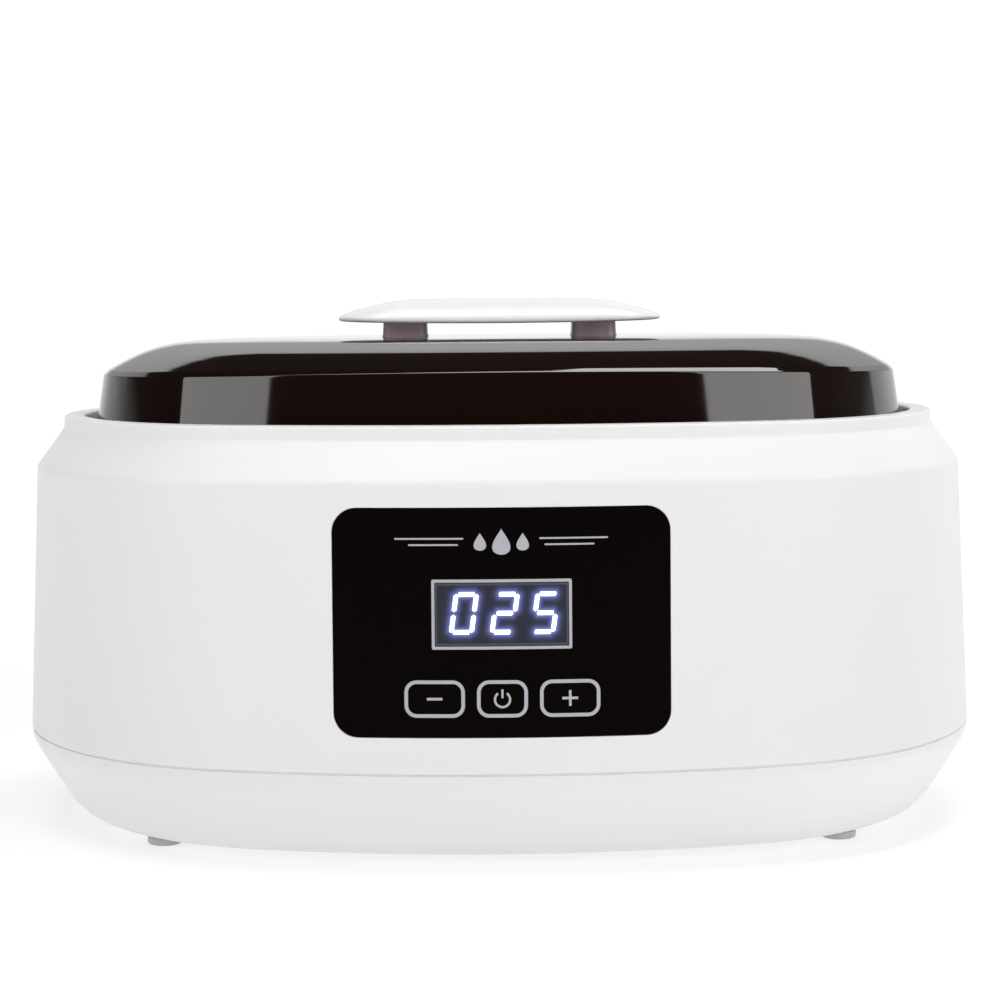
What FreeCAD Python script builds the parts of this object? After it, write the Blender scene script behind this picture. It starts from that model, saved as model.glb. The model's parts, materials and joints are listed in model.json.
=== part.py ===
import FreeCAD, Part
import math
import os
import re

import Sketcher

# Paraffin wax bath: a heated oval tub in a two-part plastic casing, with a digital
# control panel in front, a mains inlet behind and a lift-off smoked lid.
#
# Frame: the front faces -Y, +X is to the right of a person facing it, +Z is up, and the
# origin is the middle of the footprint at the level of the feet.  Lengths are millimetres.

V = FreeCAD.Vector
DOC = FreeCAD.newDocument("wax_bath")
SHEET = DOC.addObject("Spreadsheet::Sheet", "Dims")

DRIVING = {
    # plan of the casing at its widest level: four tangent arcs
    "half_length": 155.0, "half_depth": 103.0, "front_arc": 340.0,
    # levels of the two casing shells
    "base_z": 2.5, "parting_z": 31.2, "parting_gap": 0.4, "shoulder_z": 116.1,
    "rim_base_z": 128.0, "rim_z": 132.1, "ledge_z": 126.4, "ledge_thick": 2.2,
    # how far those levels lie inside the widest plan
    "bottom_inset": 20.5, "shoulder_inset": 3.93, "rim_inset": 12.7, "rim_width": 6.9,
    "opening_inset": 33.8, "wall": 2.5, "tongue_height": 3.0, "tongue_gap": 0.25,
    # control panel
    "panel_width": 98.4, "panel_height": 66.8, "panel_z": 75.6, "panel_radius": 7.2,
    "panel_sink": 0.15, "panel_thick": 0.8, "panel_gap": 0.15,
    "window_width": 40.8, "window_height": 20.4, "window_z": 78.1, "window_radius": 0.8,
    "led_width": 37.6, "led_height": 16.0, "led_depth": 8.0,
    "board_front_y": -90.6, "board_thick": 1.6, "face_low_z": 34.0, "face_high_z": 114.0,
    "key_z": 53.5, "key_height": 11.0, "key_radius": 3.6, "key_gap": 0.2,
    "side_key_width": 17.7, "power_key_width": 14.9, "side_key_x": 19.7,
    "key_lip": 1.2, "key_lip_thick": 1.2, "key_travel": 0.3, "plunger_tip_y": -96.0,
    # tub, heater and shield
    "sheet": 1.0, "tub_floor_z": 45.0, "tub_rim_z": 127.0, "flange_inset": 21.0,
    "tub_top_inset": 34.2, "tub_low_z": 54.0, "tub_low_inset": 39.6,
    "heater_thick": 2.5, "heater_inset": 50.0, "plate_thick": 1.5,
    "wrap_low_z": 56.0, "wrap_high_z": 112.0, "wrap_thick": 4.0,
    "shield_z": 30.0, "shield_thick": 0.8, "shield_inset": 33.0,
    "shield_post_x": 85.0, "shield_post_y": 46.0, "shield_post_radius": 3.5,
    "heater_slot_length": 84.0, "heater_slot_width": 34.0, "stud_radius": 2.0,
    # power board, inlet
    "pcb_z": 9.0, "pcb_length": 120.0, "pcb_width": 64.0, "pcb_y": 12.0,
    "inlet_z": 52.0, "inlet_seat_y": 98.6, "inlet_width": 50.0, "inlet_height": 26.0,
    "inlet_flange": 3.0, "socket_width": 24.6, "socket_height": 16.6, "inlet_screw_x": 20.0,
    # feet, screws
    "foot_x": 105.5, "foot_y": 53.5, "foot_radius": 5.5,
    "boss_x": 124.8, "boss_y": 26.5, "boss_radius": 4.2, "screw_radius": 1.5,
    "post_foot_z": 4.0, "sink_radius": 3.6, "board_screw_radius": 1.1,
    "shield_screw_radius": 1.25, "board_boss_radius": 3.2, "foot_neck": 2.0,
    # lid and handle
    "lid_z": 128.3, "lid_inset": 22.7, "lid_crease_z": 146.2, "lid_crease_inset": 25.4,
    "lid_wall": 2.2, "lid_top_z": 156.4, "lid_top_inset": 80.0,
    "post_x": 30.8, "post_size": 14.5, "handle_z": 161.3, "handle_length": 106.6,
    "handle_depth": 36.0, "handle_top_z": 168.7,
    # loose floor grille
    "grille_z": 50.0, "grille_thick": 2.0, "grille_inset": 44.5, "grille_hole": 3.5,
}
WORD = re.compile(r"[a-z]+(?:_[a-z]+)*")
END_CENTRE = ("half_length - (front_arc^2 - (front_arc - half_depth)^2 - half_length^2)"
              " / (2 * (front_arc - half_length))")


def fill_sheet():
    """Writes every driving dimension as a plain number with an alias."""
    for row, (alias, number) in enumerate(DRIVING.items(), start=1):
        SHEET.set(f"A{row}", alias)
        SHEET.set(f"B{row}", str(number))
        SHEET.setAlias(f"B{row}", alias)
    DOC.recompute()


def cell(text):
    """An expression with its words turned into references to the sheet."""
    return WORD.sub(lambda m: "Dims." + m.group() if m.group() in DRIVING else m.group(),
                    str(text))


def value(text):
    """The number that an expression has now."""
    return float(SHEET.evalExpression(cell(text)))


def bind(item, path, text):
    item.setExpression(path, cell(text))


def place(item, x, y, z):
    """Binds an object's place to the sheet."""
    item.Placement.Base = V(value(x), value(y), value(z))
    for axis, text in zip("xyz", (x, y, z)):
        bind(item, f"Placement.Base.{axis}", text)


def new(kind, name):
    return DOC.addObject(kind, name)


# ---------------------------------------------------------------- primitives

TURN = {"z": FreeCAD.Rotation(), "y": FreeCAD.Rotation(V(1, 0, 0), -90),
        "x": FreeCAD.Rotation(V(0, 1, 0), 90)}


def block(name, size, at):
    """A box centred on at in plan, standing on at's level."""
    item = new("Part::Box", name)
    for prop, text in zip(("Length", "Width", "Height"), size):
        bind(item, prop, text)
    place(item, f"{at[0]} - ({size[0]}) / 2", f"{at[1]} - ({size[1]}) / 2", at[2])
    return item


def rod(name, radius, length, at, axis="z"):
    """A cylinder that starts at at and runs towards + along axis."""
    item = new("Part::Cylinder", name)
    bind(item, "Radius", radius)
    bind(item, "Height", length)
    item.Placement.Rotation = TURN[axis]
    place(item, *at)
    return item


def fuse(name, *items):
    item = new("Part::MultiFuse", name)
    item.Shapes = list(items)
    item.Refine = True
    return item


def cut(name, base, *tools):
    item = new("Part::Cut", name)
    item.Base = base
    item.Tool = tools[0] if len(tools) == 1 else fuse(name + "_tools", *tools)
    return item


def common(name, base, tool):
    item = new("Part::Common", name)
    item.Base = base
    item.Tool = tool
    return item


def copies(label, template, stations):
    """One node of separate solids: a template repeated at (x, y, z, turn about Z)."""
    DOC.recompute()
    shapes = []
    for x, y, z, turn in stations:
        shape = template.Shape.copy()
        move = FreeCAD.Placement(V(value(x), value(y), value(z)),
                                 FreeCAD.Rotation(V(0, 0, 1), turn))
        shape.Placement = move.multiply(shape.Placement)
        shapes.append(shape)
    item = new("Part::Feature", label)
    item.Shape = Part.makeCompound(shapes)
    return finish(item, label)


def four(x, y, z="0"):
    """The four stations mirrored about both vertical planes."""
    return [(f"{sx}*({x})", f"{sy}*({y})", z, 0) for sx in (-1, 1) for sy in (-1, 1)]


# ------------------------------------------------------------------ sketches


def oval(name, level, inset):
    """The casing's plan, four tangent arcs, drawn at a level and moved in by inset."""
    sketch = new("Sketcher::SketchObject", name)
    rise = value("front_arc - half_depth")
    run = value(END_CENTRE)
    long_radius = value(f"front_arc - ({inset})")
    end_radius = long_radius - math.hypot(rise, run)
    lean = math.atan2(rise, run)
    arcs = ((V(0, rise, 0), long_radius, lean - math.pi, -lean),
            (V(run, 0, 0), end_radius, -lean, lean),
            (V(0, -rise, 0), long_radius, lean, math.pi - lean),
            (V(-run, 0, 0), end_radius, math.pi - lean, math.pi + lean))
    for centre, radius, start, end in arcs:
        circle = Part.Circle(centre, V(0, 0, 1), radius)
        sketch.addGeometry(Part.ArcOfCircle(circle, start, end))
    for arc in range(4):
        sketch.addConstraint(Sketcher.Constraint("Tangent", arc, 2, (arc + 1) % 4, 1))
    for arc, line in ((0, -2), (1, -1), (2, -2)):
        sketch.addConstraint(Sketcher.Constraint("PointOnObject", arc, 3, line))
    drive(sketch, "DistanceY", (-1, 1, 0, 3), "front_arc - half_depth")
    drive(sketch, "DistanceX", (-1, 1, 1, 3), END_CENTRE)
    drive(sketch, "DistanceY", (2, 3, -1, 1), "front_arc - half_depth")
    drive(sketch, "DistanceX", (3, 3, -1, 1), END_CENTRE)
    drive(sketch, "Radius", (0,), f"front_arc - ({inset})")
    place(sketch, 0, 0, level)
    return sketch


def drive(sketch, kind, points, text):
    """A dimension of a sketch that follows the sheet."""
    index = sketch.addConstraint(Sketcher.Constraint(kind, *points, value(text)))
    sketch.renameConstraint(index, f"size{index}")
    bind(sketch, f"Constraints.size{index}", text)


def rounded(name, width, height, radius, at, axis="z"):
    """A rectangle with round corners, centred on at, square to axis."""
    sketch = new("Sketcher::SketchObject", name)
    fill_rounded(sketch, width, height, radius)
    if axis == "y":
        sketch.Placement.Rotation = FreeCAD.Rotation(V(1, 0, 0), 90)
    place(sketch, *at)
    return sketch


def fill_rounded(sketch, width, height, radius):
    half_u, half_v, round_by = value(f"({width})/2"), value(f"({height})/2"), value(radius)
    corners = ((1, -1), (1, 1), (-1, 1), (-1, -1))
    for quarter, (side, top) in enumerate(corners):
        centre = V(side * (half_u - round_by), top * (half_v - round_by), 0)
        start = (quarter - 1) * math.pi / 2
        first = centre + V(math.cos(start), math.sin(start), 0) * round_by
        previous = corners[quarter - 1]
        before = V(previous[0] * (half_u - round_by), previous[1] * (half_v - round_by), 0)
        sketch.addGeometry(Part.LineSegment(
            before + V(math.cos(start), math.sin(start), 0) * round_by, first))
        circle = Part.Circle(centre, V(0, 0, 1), round_by)
        sketch.addGeometry(Part.ArcOfCircle(circle, start, start + math.pi / 2))
    for item in range(8):
        sketch.addConstraint(Sketcher.Constraint("Tangent", item, 2, (item + 1) % 8, 1))
    for line, kind in ((0, "Horizontal"), (2, "Vertical"), (4, "Horizontal"), (6, "Vertical")):
        sketch.addConstraint(Sketcher.Constraint(kind, line))
    for arc in (3, 5, 7):
        sketch.addConstraint(Sketcher.Constraint("Equal", 1, arc))
    drive(sketch, "Radius", (1,), radius)
    drive(sketch, "DistanceY", (0, 1, -1, 1), f"({height})/2")
    drive(sketch, "DistanceX", (-1, 1, 2, 1), f"({width})/2")
    drive(sketch, "DistanceY", (-1, 1, 4, 1), f"({height})/2")
    drive(sketch, "DistanceX", (6, 1, -1, 1), f"({width})/2")


def prism(name, width, height, radius, at, length, axis="z"):
    """A round-cornered bar that starts at at and runs towards + along axis."""
    item = new("Part::Extrusion", name)
    item.Base = rounded(name + "_outline", width, height, radius, at, axis)
    item.DirMode = "Custom"
    item.Dir = V(0, 1, 0) if axis == "y" else V(0, 0, 1)
    bind(item, "LengthFwd", length)
    item.Solid = True
    return item


def loft(name, sections):
    """A solid whose plan follows the oval, through (level, inset) sections."""
    item = new("Part::Loft", name)
    item.Sections = [oval(f"{name}_{index}", level, inset)
                     for index, (level, inset) in enumerate(sections)]
    item.Solid = True
    item.Ruled = True
    return item


def plate(name, level, thick, inset):
    """An oval plate."""
    return loft(name, ((level, inset), (f"({level}) + ({thick})", inset)))


def lathe(label, points):
    """A body turned about Z from an outline of (radius, height) points."""
    body = new("PartDesign::Body", label)
    sketch = body.newObject("Sketcher::SketchObject", label + "_profile")
    plane = next(f for f in body.Origin.OriginFeatures if f.Role == "XZ_Plane")
    sketch.AttachmentSupport = [(plane, "")]
    sketch.MapMode = "FlatFace"
    fill_outline(sketch, points)
    turned = body.newObject("PartDesign::Revolution", label + "_turned")
    turned.Profile = sketch
    turned.ReferenceAxis = (sketch, ["V_Axis"])
    turned.Angle = 360
    return body


def slab(label, points, thick, role="XY_Plane"):
    """A body padded from a straight-sided outline on one of its own planes."""
    body = new("PartDesign::Body", label)
    sketch = body.newObject("Sketcher::SketchObject", label + "_outline")
    plane = next(f for f in body.Origin.OriginFeatures if f.Role == role)
    sketch.AttachmentSupport = [(plane, "")]
    sketch.MapMode = "FlatFace"
    fill_outline(sketch, points)
    pad = body.newObject("PartDesign::Pad", label + "_pad")
    pad.Profile = sketch
    bind(pad, "Length", thick)
    return body


def fill_outline(sketch, points):
    """A closed outline of straight lines with every corner bound to the sheet."""
    corners = [V(value(u), value(v), 0) for u, v in points]
    count = len(corners)
    for index, corner in enumerate(corners):
        sketch.addGeometry(Part.LineSegment(corner, corners[(index + 1) % count]))
    for index in range(count):
        after = (index + 1) % count
        sketch.addConstraint(Sketcher.Constraint("Coincident", index, 2, after, 1))
    for index, (corner, (u, v)) in enumerate(zip(corners, points)):
        pin_corner(sketch, index, corner.x, u, "DistanceX", -2)
        pin_corner(sketch, index, corner.y, v, "DistanceY", -1)


def pin_corner(sketch, index, number, text, kind, axis_line):
    if abs(number) < 1e-9:
        sketch.addConstraint(Sketcher.Constraint("PointOnObject", index, 1, axis_line))
    elif number > 0:
        drive(sketch, kind, (-1, 1, index, 1), text)
    else:
        drive(sketch, kind, (index, 1, -1, 1), f"-({text})")


# ------------------------------------------------------------- node handling

NODES = {}


def finish(item, label):
    """Marks an object as a finished sub-part."""
    item.Label = label
    NODES[label] = item
    return item


def wall_inset(level, depth):
    """How far the casing's upper wall, at a level, lies inside the widest plan."""
    lean = "shoulder_inset / (shoulder_z - parting_z)"
    return f"(({level}) - parting_z) * {lean} + ({depth})"


def wall_solid(name, low, high, depth):
    """What lies inside the casing's upper wall, less a depth, between two levels."""
    return loft(name, ((low, wall_inset(low, depth)), (high, wall_inset(high, depth))))


FACE = ("face_low_z", "face_high_z")


def skin(name, outline, outer, inner):
    """The part of a prism that lies between two depths of the casing's wall."""
    outside = common(name + "_outside", outline, wall_solid(name + "_outer", *FACE, outer))
    return cut(name, outside, wall_solid(name + "_inner", *FACE, inner))


# ------------------------------------------------------------------- casing

FRONT_START = "-half_depth - 5"
POST_JOINT = "(parting_z + tongue_height)"
SHIELD_POST = ("shield_post_x", "shield_post_y")
KEYS = {"low": ("-side_key_x", "side_key_width"), "power": ("0", "power_key_width"),
        "high": ("side_key_x", "side_key_width")}
BOARD_SCREWS = [(x, z) for x in ("-43", "43") for z in ("48", "104")]


def front_prism(name, width, height, radius, x, z, length="30"):
    return prism(name, width, height, radius, (x, FRONT_START, z), length, "y")


def outer_casing():
    low = "parting_z"
    body = loft("casing_body", ((low, "0"), ("shoulder_z", "shoulder_inset"),
                                ("rim_base_z", "rim_inset"), ("rim_z", "rim_inset + 0.2")))
    under = "ledge_z - ledge_thick"
    hollow = loft("casing_hollow", (
        ("parting_z - 1", "wall"), ("shoulder_z - 0.6", "shoulder_inset + wall"),
        (under, "rim_inset + 0.4")))
    seat = "rim_inset + rim_width"
    recess = loft("rim_recess", (("ledge_z", f"{seat} + 0.4"), ("rim_z + 1", seat)))
    opening = plate("tub_opening", f"{under} - 1", "ledge_thick + 2", "opening_inset")
    shell = cut("casing_shell", body, hollow, recess, opening)
    posts = [rod(f"casing_post_{i}", "boss_radius", f"{under} - {POST_JOINT} + 0.2", (x, y, POST_JOINT))
             for i, (x, y, _, _) in enumerate(four("boss_x", "boss_y"))]
    studs = [rod(f"panel_boss_{i}", "board_boss_radius", "board_front_y + half_depth + 1",
                 (x, "-half_depth - 1", z), "y")
             for i, (x, z) in enumerate(BOARD_SCREWS)]
    pad = block("inlet_pad", ("inlet_width + 8", "12", "inlet_height + 8"),
                ("0", "inlet_seat_y - wall + 6", "inlet_z - inlet_height / 2 - 4"))
    inside = wall_solid("casing_inside", low, "shoulder_z", "1.3")
    added = common("casing_added", fuse("casing_lugs", pad, *studs), inside)
    solid = fuse("casing_solid", shell, added, *posts)
    holes = [rod(f"post_pilot_{i}", "screw_radius", "20", (x, y, f"{POST_JOINT} - 1.2"))
             for i, (x, y, _, _) in enumerate(four("boss_x", "boss_y"))]
    holes += [rod(f"panel_pilot_{i}", "board_screw_radius", "5", (x, "board_front_y - 4.9", z), "y")
              for i, (x, z) in enumerate(BOARD_SCREWS)]
    holes += [rod(f"clamp_pilot_{i}", "screw_radius", "6", (x, y, f"{under} - 0.1"))
              for i, (x, y, _) in enumerate(CLAMPS)]
    return finish(cut("outer_casing", solid, *holes, *panel_cuts(), *inlet_cuts()),
                  "outer_casing")


def panel_cuts():
    """The recess for the panel and the openings behind it."""
    border = "panel_width + 2 * panel_gap"
    tall = "panel_height + 2 * panel_gap"
    recess = front_prism("panel_recess_outline", border, tall, "panel_radius", "0", "panel_z")
    depth = "panel_sink + panel_thick"
    cuts = [skin("panel_recess", recess, "-1", depth)]
    cuts.append(block("led_opening", ("led_width + 1", "30", "led_height + 1"),
                      ("0", "-half_depth", "window_z - led_height / 2 - 0.5")))
    for name, (x, width) in KEYS.items():
        cuts.append(front_prism(f"{name}_key_opening", f"{width} + 2 * key_gap",
                                "key_height + 2 * key_gap", "key_radius", x, "key_z"))
    return cuts


def inlet_cuts():
    """The recess, the aperture and the screw holes of the mains inlet."""
    pocket = block("inlet_pocket", ("inlet_width + 0.8", "10", "inlet_height + 0.8"),
                   ("0", "inlet_seat_y + 5", "inlet_z - inlet_height / 2 - 0.4"))
    aperture = block("inlet_aperture", ("socket_width + 3.6", "20", "socket_height + 4.2"),
                     ("0", "inlet_seat_y", "inlet_z - socket_height / 2 - 2.1"))
    screws = [rod(f"inlet_pilot_{side}", "screw_radius", "8",
                  (f"{side}*inlet_screw_x", "inlet_seat_y - 5", "inlet_z"), "y") for side in (-1, 1)]
    return [pocket, aperture, *screws]


def base_casing():
    top = "parting_z - parting_gap"
    body = loft("base_body", (("base_z", "bottom_inset"), ("3.4", "17.6"), ("5", "15"),
                              ("7.5", "12.6"), ("10.5", "10.6"), ("25.5", "1.5"),
                              ("28.5", "0.35"), (top, "0.1")))
    hollow = loft("base_hollow", (("base_z + wall", "18.4"), ("8", "15.2"),
                                  ("26", "4.1"), ("29", "2.9"), ("parting_z + 1", "2.6")))
    tongue = cut("base_tongue", plate("tongue_body", "27", f"{POST_JOINT} - 27", "wall + tongue_gap"),
                 plate("tongue_bore", "26", f"{POST_JOINT} - 20", "wall + tongue_gap + 1.6"))
    posts = [rod(f"base_post_{i}", "boss_radius", f"{POST_JOINT} - post_foot_z", (x, y, "post_foot_z"))
             for i, (x, y, _, _) in enumerate(four("boss_x", "boss_y"))]
    posts += [rod(f"shield_post_{i}", "shield_post_radius", "shield_z - post_foot_z",
                  (x, y, "post_foot_z"))
              for i, (x, y, _, _) in enumerate(four(*SHIELD_POST))]
    posts += [rod(f"pcb_post_{i}", "board_boss_radius", "pcb_z - post_foot_z", (x, y, "post_foot_z"))
              for i, (x, y) in enumerate(PCB_SCREWS)]
    shell = fuse("base_solid", cut("base_shell", body, hollow), tongue, *posts)
    holes = []
    for i, (x, y, _, _) in enumerate(four("boss_x", "boss_y")):
        holes.append(rod(f"base_sink_{i}", "sink_radius", "20", (x, y, "base_z - 0.5")))
        holes.append(rod(f"base_hole_{i}", "screw_radius + 0.2", "20", (x, y, "20")))
    holes += [rod(f"shield_pilot_{i}", "shield_screw_radius", "9", (x, y, "shield_z - 8"))
              for i, (x, y, _, _) in enumerate(four(*SHIELD_POST))]
    holes += [rod(f"pcb_pilot_{i}", "board_screw_radius", "6", (x, y, "pcb_z - 4.8"))
              for i, (x, y) in enumerate(PCB_SCREWS)]
    holes += [rod(f"foot_hole_{i}", "foot_neck", "10", (x, y, "0"))
              for i, (x, y, _, _) in enumerate(four("foot_x", "foot_y"))]
    return finish(cut("base_casing", shell, *holes), "base_casing")


def rubber_feet():
    foot = lathe("foot", (("0", "0"), ("foot_radius - 0.6", "0"), ("foot_radius", "0.6"),
                          ("foot_radius", "base_z"), ("foot_neck", "base_z"),
                          ("foot_neck", "base_z + wall"),
                          ("2.9", "base_z + wall"), ("1.9", "base_z + wall + 1.6"),
                          ("0", "base_z + wall + 1.6")))
    return copies("rubber_feet", foot, four("foot_x", "foot_y"))


# ------------------------------------------------------------------- screws


def screw(label, radius, length, head_radius, head_height):
    """A pan-head screw, its head's seat at the origin and its shank towards +Z."""
    return lathe(label, (("0", f"-({head_height})"), (f"{head_radius} - 0.5", f"-({head_height})"),
                         (head_radius, f"0.6 - ({head_height})"), (head_radius, "0"),
                         (radius, "0"), (radius, f"{length} - 0.8"),
                         (f"{radius} - 0.6", length), ("0", length)))


def turned_over(template, label, axis):
    """A copy of a template whose shank points along another axis."""
    DOC.recompute()
    item = new("Part::Feature", label)
    item.Shape = template.Shape
    item.Placement = FreeCAD.Placement(V(0, 0, 0), axis)
    return item


UP_TO_FRONT = FreeCAD.Rotation(V(1, 0, 0), 90)
UP_TO_DOWN = FreeCAD.Rotation(V(1, 0, 0), 180)


def base_screws():
    item = screw("base_screw", "screw_radius", "26", "3.1", "2.4")
    return copies("base_screws", item, four("boss_x", "boss_y", "base_z + 19.5"))


# --------------------------------------------------------------------- tub

CLAMP_Y = "half_depth - 17"
CLAMP_X = "half_length - 17"
CLAMPS = (("0", f"-({CLAMP_Y})", 0), (CLAMP_X, "0", 90), ("0", CLAMP_Y, 180),
          (f"-({CLAMP_X})", "0", 270))


def tub_inset(level, outward="0"):
    lean = "(tub_low_inset - tub_top_inset) / (tub_rim_z - tub_low_z)"
    return f"tub_top_inset + (tub_rim_z - ({level})) * {lean} - ({outward})"


def tub_outside(name):
    return loft(name, (("tub_floor_z", "tub_low_inset + 7.4"),
                       ("tub_floor_z + 1.2", "tub_low_inset + 3.8"),
                       ("tub_floor_z + 4", "tub_low_inset + 1.2"),
                       ("tub_low_z", "tub_low_inset"), ("tub_rim_z", "tub_top_inset")))


def wax_tub():
    flange = plate("tub_flange", "tub_rim_z", "sheet", "flange_inset")
    inside = loft("tub_inside", (("tub_floor_z + sheet", "tub_low_inset + 7.8"),
                                 ("tub_floor_z + sheet + 1.1", "tub_low_inset + 4.6"),
                                 ("tub_floor_z + sheet + 3.6", "tub_low_inset + 2.2"),
                                 ("tub_low_z + 0.4", "tub_low_inset + sheet"),
                                 ("tub_rim_z", "tub_top_inset + sheet"),
                                 ("tub_rim_z + 2", "tub_top_inset + sheet - 0.4")))
    return finish(cut("wax_tub", fuse("tub_solid", tub_outside("tub_body"), flange), inside),
                  "wax_tub")


def tub_gasket():
    thick = "tub_rim_z - ledge_z"
    ring = cut("tub_gasket", plate("gasket_body", "ledge_z", thick, "flange_inset + 1"),
               plate("gasket_bore", "ledge_z - 1", f"{thick} + 2", "opening_inset"))
    return finish(ring, "tub_gasket")


def tub_brackets():
    """Four steel angles that hold the tub down, each under the casing's ledge."""
    under = "ledge_z - ledge_thick"
    angles = []
    for index, (x, y, turn) in enumerate(CLAMPS):
        along_x = turn in (90, 270)
        side = "-1" if turn in (0, 270) else "1"
        reach = CLAMP_X if along_x else CLAMP_Y
        leg = f"{side}*({reach} - 18.4)"
        arm = f"{side}*({reach} - 7)"
        leg_size = ("4", "16", "11") if along_x else ("16", "4", "11")
        arm_size = ("21", "16", "1.2") if along_x else ("16", "21", "1.2")
        leg_at = (leg, "0", f"{under} - 11") if along_x else ("0", leg, f"{under} - 11")
        arm_at = (arm, "0", f"{under} - 1.2") if along_x else ("0", arm, f"{under} - 1.2")
        pair = fuse(f"angle_{index}", block(f"leg_{index}", leg_size, leg_at),
                    block(f"arm_{index}", arm_size, arm_at))
        hole = rod(f"angle_hole_{index}", "screw_radius + 0.1", "4", (x, y, f"{under} - 3"))
        angles.append(cut(f"bracket_{index}", pair, hole, tub_outside(f"bracket_tub_{index}")))
    return group("tub_brackets", angles)


def group(label, items):
    """One node of separate solids, each made in its own place."""
    item = new("Part::Compound", label)
    item.Links = items
    return finish(item, label)


def bracket_screws():
    item = screw("bracket_screw", "screw_radius", "6.5", "2.8", "2")
    stations = [(x, y, "ledge_z - ledge_thick - 1.2", 0) for x, y, _ in CLAMPS]
    return copies("bracket_screws", item, stations)


HEATER_STUDS = [("84", "0"), ("-84", "0"), ("52", "36"), ("52", "-36"), ("-52", "36"),
                ("-52", "-36")]
THERMOSTAT_X = "-20"
EARS = [(f"{THERMOSTAT_X} + {shift}", "0") for shift in ("-13", "13")]
HEATER_LEADS = [("72", "-4"), ("72", "4")]


def tub_studs():
    tall = [rod(f"heater_stud_{i}", "stud_radius", "9", (x, y, "tub_floor_z - 9"))
            for i, (x, y) in enumerate(HEATER_STUDS)]
    short = [rod(f"thermostat_stud_{i}", "1.5", "5", (x, y, "tub_floor_z - 5"))
             for i, (x, y) in enumerate(EARS)]
    return group("tub_studs", tall + short)


def under_tub(label, drop, thick, inset):
    """An oval plate under the tub with a slot in its middle and clearance holes."""
    level = f"tub_floor_z - ({drop})"
    slot = prism(label + "_slot", "heater_slot_length", "heater_slot_width",
                 "heater_slot_width / 2 - 1", ("0", "0", f"{level} - 1"), f"{thick} + 2")
    holes = [rod(f"{label}_hole_{i}", "stud_radius + 0.2", f"{thick} + 2", (x, y, f"{level} - 1"))
             for i, (x, y) in enumerate(HEATER_STUDS)]
    return plate(label + "_blank", level, thick, inset), [slot, *holes], level


def heater_element():
    blank, cuts, _ = under_tub("heater", "heater_thick", "heater_thick", "heater_inset")
    return finish(cut("heater_element", blank, *cuts), "heater_element")


def heater_press_plate():
    blank, cuts, level = under_tub("press", "heater_thick + plate_thick", "plate_thick",
                                   "heater_inset + 1.5")
    cuts += [rod(f"lead_hole_{i}", "2", "plate_thick + 2", (x, y, f"{level} - 1"))
             for i, (x, y) in enumerate(HEATER_LEADS)]
    return finish(cut("heater_press_plate", blank, *cuts), "heater_press_plate")


def hexagon(across):
    """The corners of a hexagon, from its width across flats."""
    corner = f"({across}) / 2 / cos(30)"
    return [(corner, "0"), (f"{corner} / 2", f"({across}) / 2"),
            (f"-({corner}) / 2", f"({across}) / 2"), (f"-({corner})", "0"),
            (f"-({corner}) / 2", f"-({across}) / 2"), (f"{corner} / 2", f"-({across}) / 2")]


def nuts(label, across, thick, bore, stations):
    blank = slab(label + "_blank", hexagon(across), thick)
    nut = cut(label + "_nut", blank, rod(label + "_bore", bore, f"{thick} + 2", ("0", "0", "-1")))
    return copies(label, nut, stations)


def heater_nuts():
    level = "tub_floor_z - heater_thick - plate_thick - 3.2"
    return nuts("heater_nuts", "7", "3.2", "stud_radius", [(x, y, level, 0) for x, y in HEATER_STUDS])


def thermostat_nuts():
    return nuts("thermostat_nuts", "5.5", "2.4", "1.5",
                [(x, y, "tub_floor_z - 3.2", 0) for x, y in EARS])


def safety_thermostat():
    cap = rod("thermostat_cap", "8.4", "1.6", (THERMOSTAT_X, "0", "tub_floor_z - 1.6"))
    case = rod("thermostat_case", "8", "8", (THERMOSTAT_X, "0", "tub_floor_z - 9.5"))
    ears = prism("thermostat_ears", "34", "8", "3.9", (THERMOSTAT_X, "0", "tub_floor_z - 0.8"),
                 "0.8")
    tabs = [block(f"thermostat_tab_{side}", ("0.8", "6.3", "5"),
                  (f"{THERMOSTAT_X} + {side}*4", "0", "tub_floor_z - 14")) for side in (-1, 1)]
    holes = [rod(f"ear_hole_{i}", "1.5", "2", (x, y, "tub_floor_z - 1.5"))
             for i, (x, y) in enumerate(EARS)]
    whole = fuse("thermostat_whole", cap, case, ears, *tabs)
    return finish(cut("safety_thermostat", whole, *holes), "safety_thermostat")


def temperature_probe():
    tip = rod("temperature_probe", "2.5", "20", ("12", "0", "tub_floor_z - 2.5"), "x")
    return finish(tip, "temperature_probe")


def probe_clip():
    saddle = block("clip_body", ("8", "16", "6.2"), ("20", "0", "tub_floor_z - 6.2"))
    slot = block("clip_slot", ("10", "5", "3"), ("20", "0", "tub_floor_z - 2.5"))
    bore = rod("clip_bore", "2.5", "20", ("12", "0", "tub_floor_z - 2.5"), "x")
    return finish(cut("probe_clip", saddle, slot, bore), "probe_clip")


def thermal_fuse():
    level = "tub_floor_z - heater_thick - plate_thick - 2.2"
    case = rod("fuse_case", "2.2", "12", ("-30", "-30", level), "x")
    leads = rod("fuse_leads", "0.5", "26", ("-37", "-30", level), "x")
    return finish(fuse("thermal_fuse", case, leads), "thermal_fuse")


def insulation_wrap():
    low, high = "wrap_low_z", "wrap_high_z"
    outer = loft("wrap_body", ((low, tub_inset(low, "wrap_thick")),
                               (high, tub_inset(high, "wrap_thick"))))
    inner = loft("wrap_bore", ((f"{low} - 1", tub_inset(f"{low} - 1", "0.05")),
                               (f"{high} + 1", tub_inset(f"{high} + 1", "0.05"))))
    return finish(cut("insulation_wrap", outer, inner), "insulation_wrap")


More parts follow.
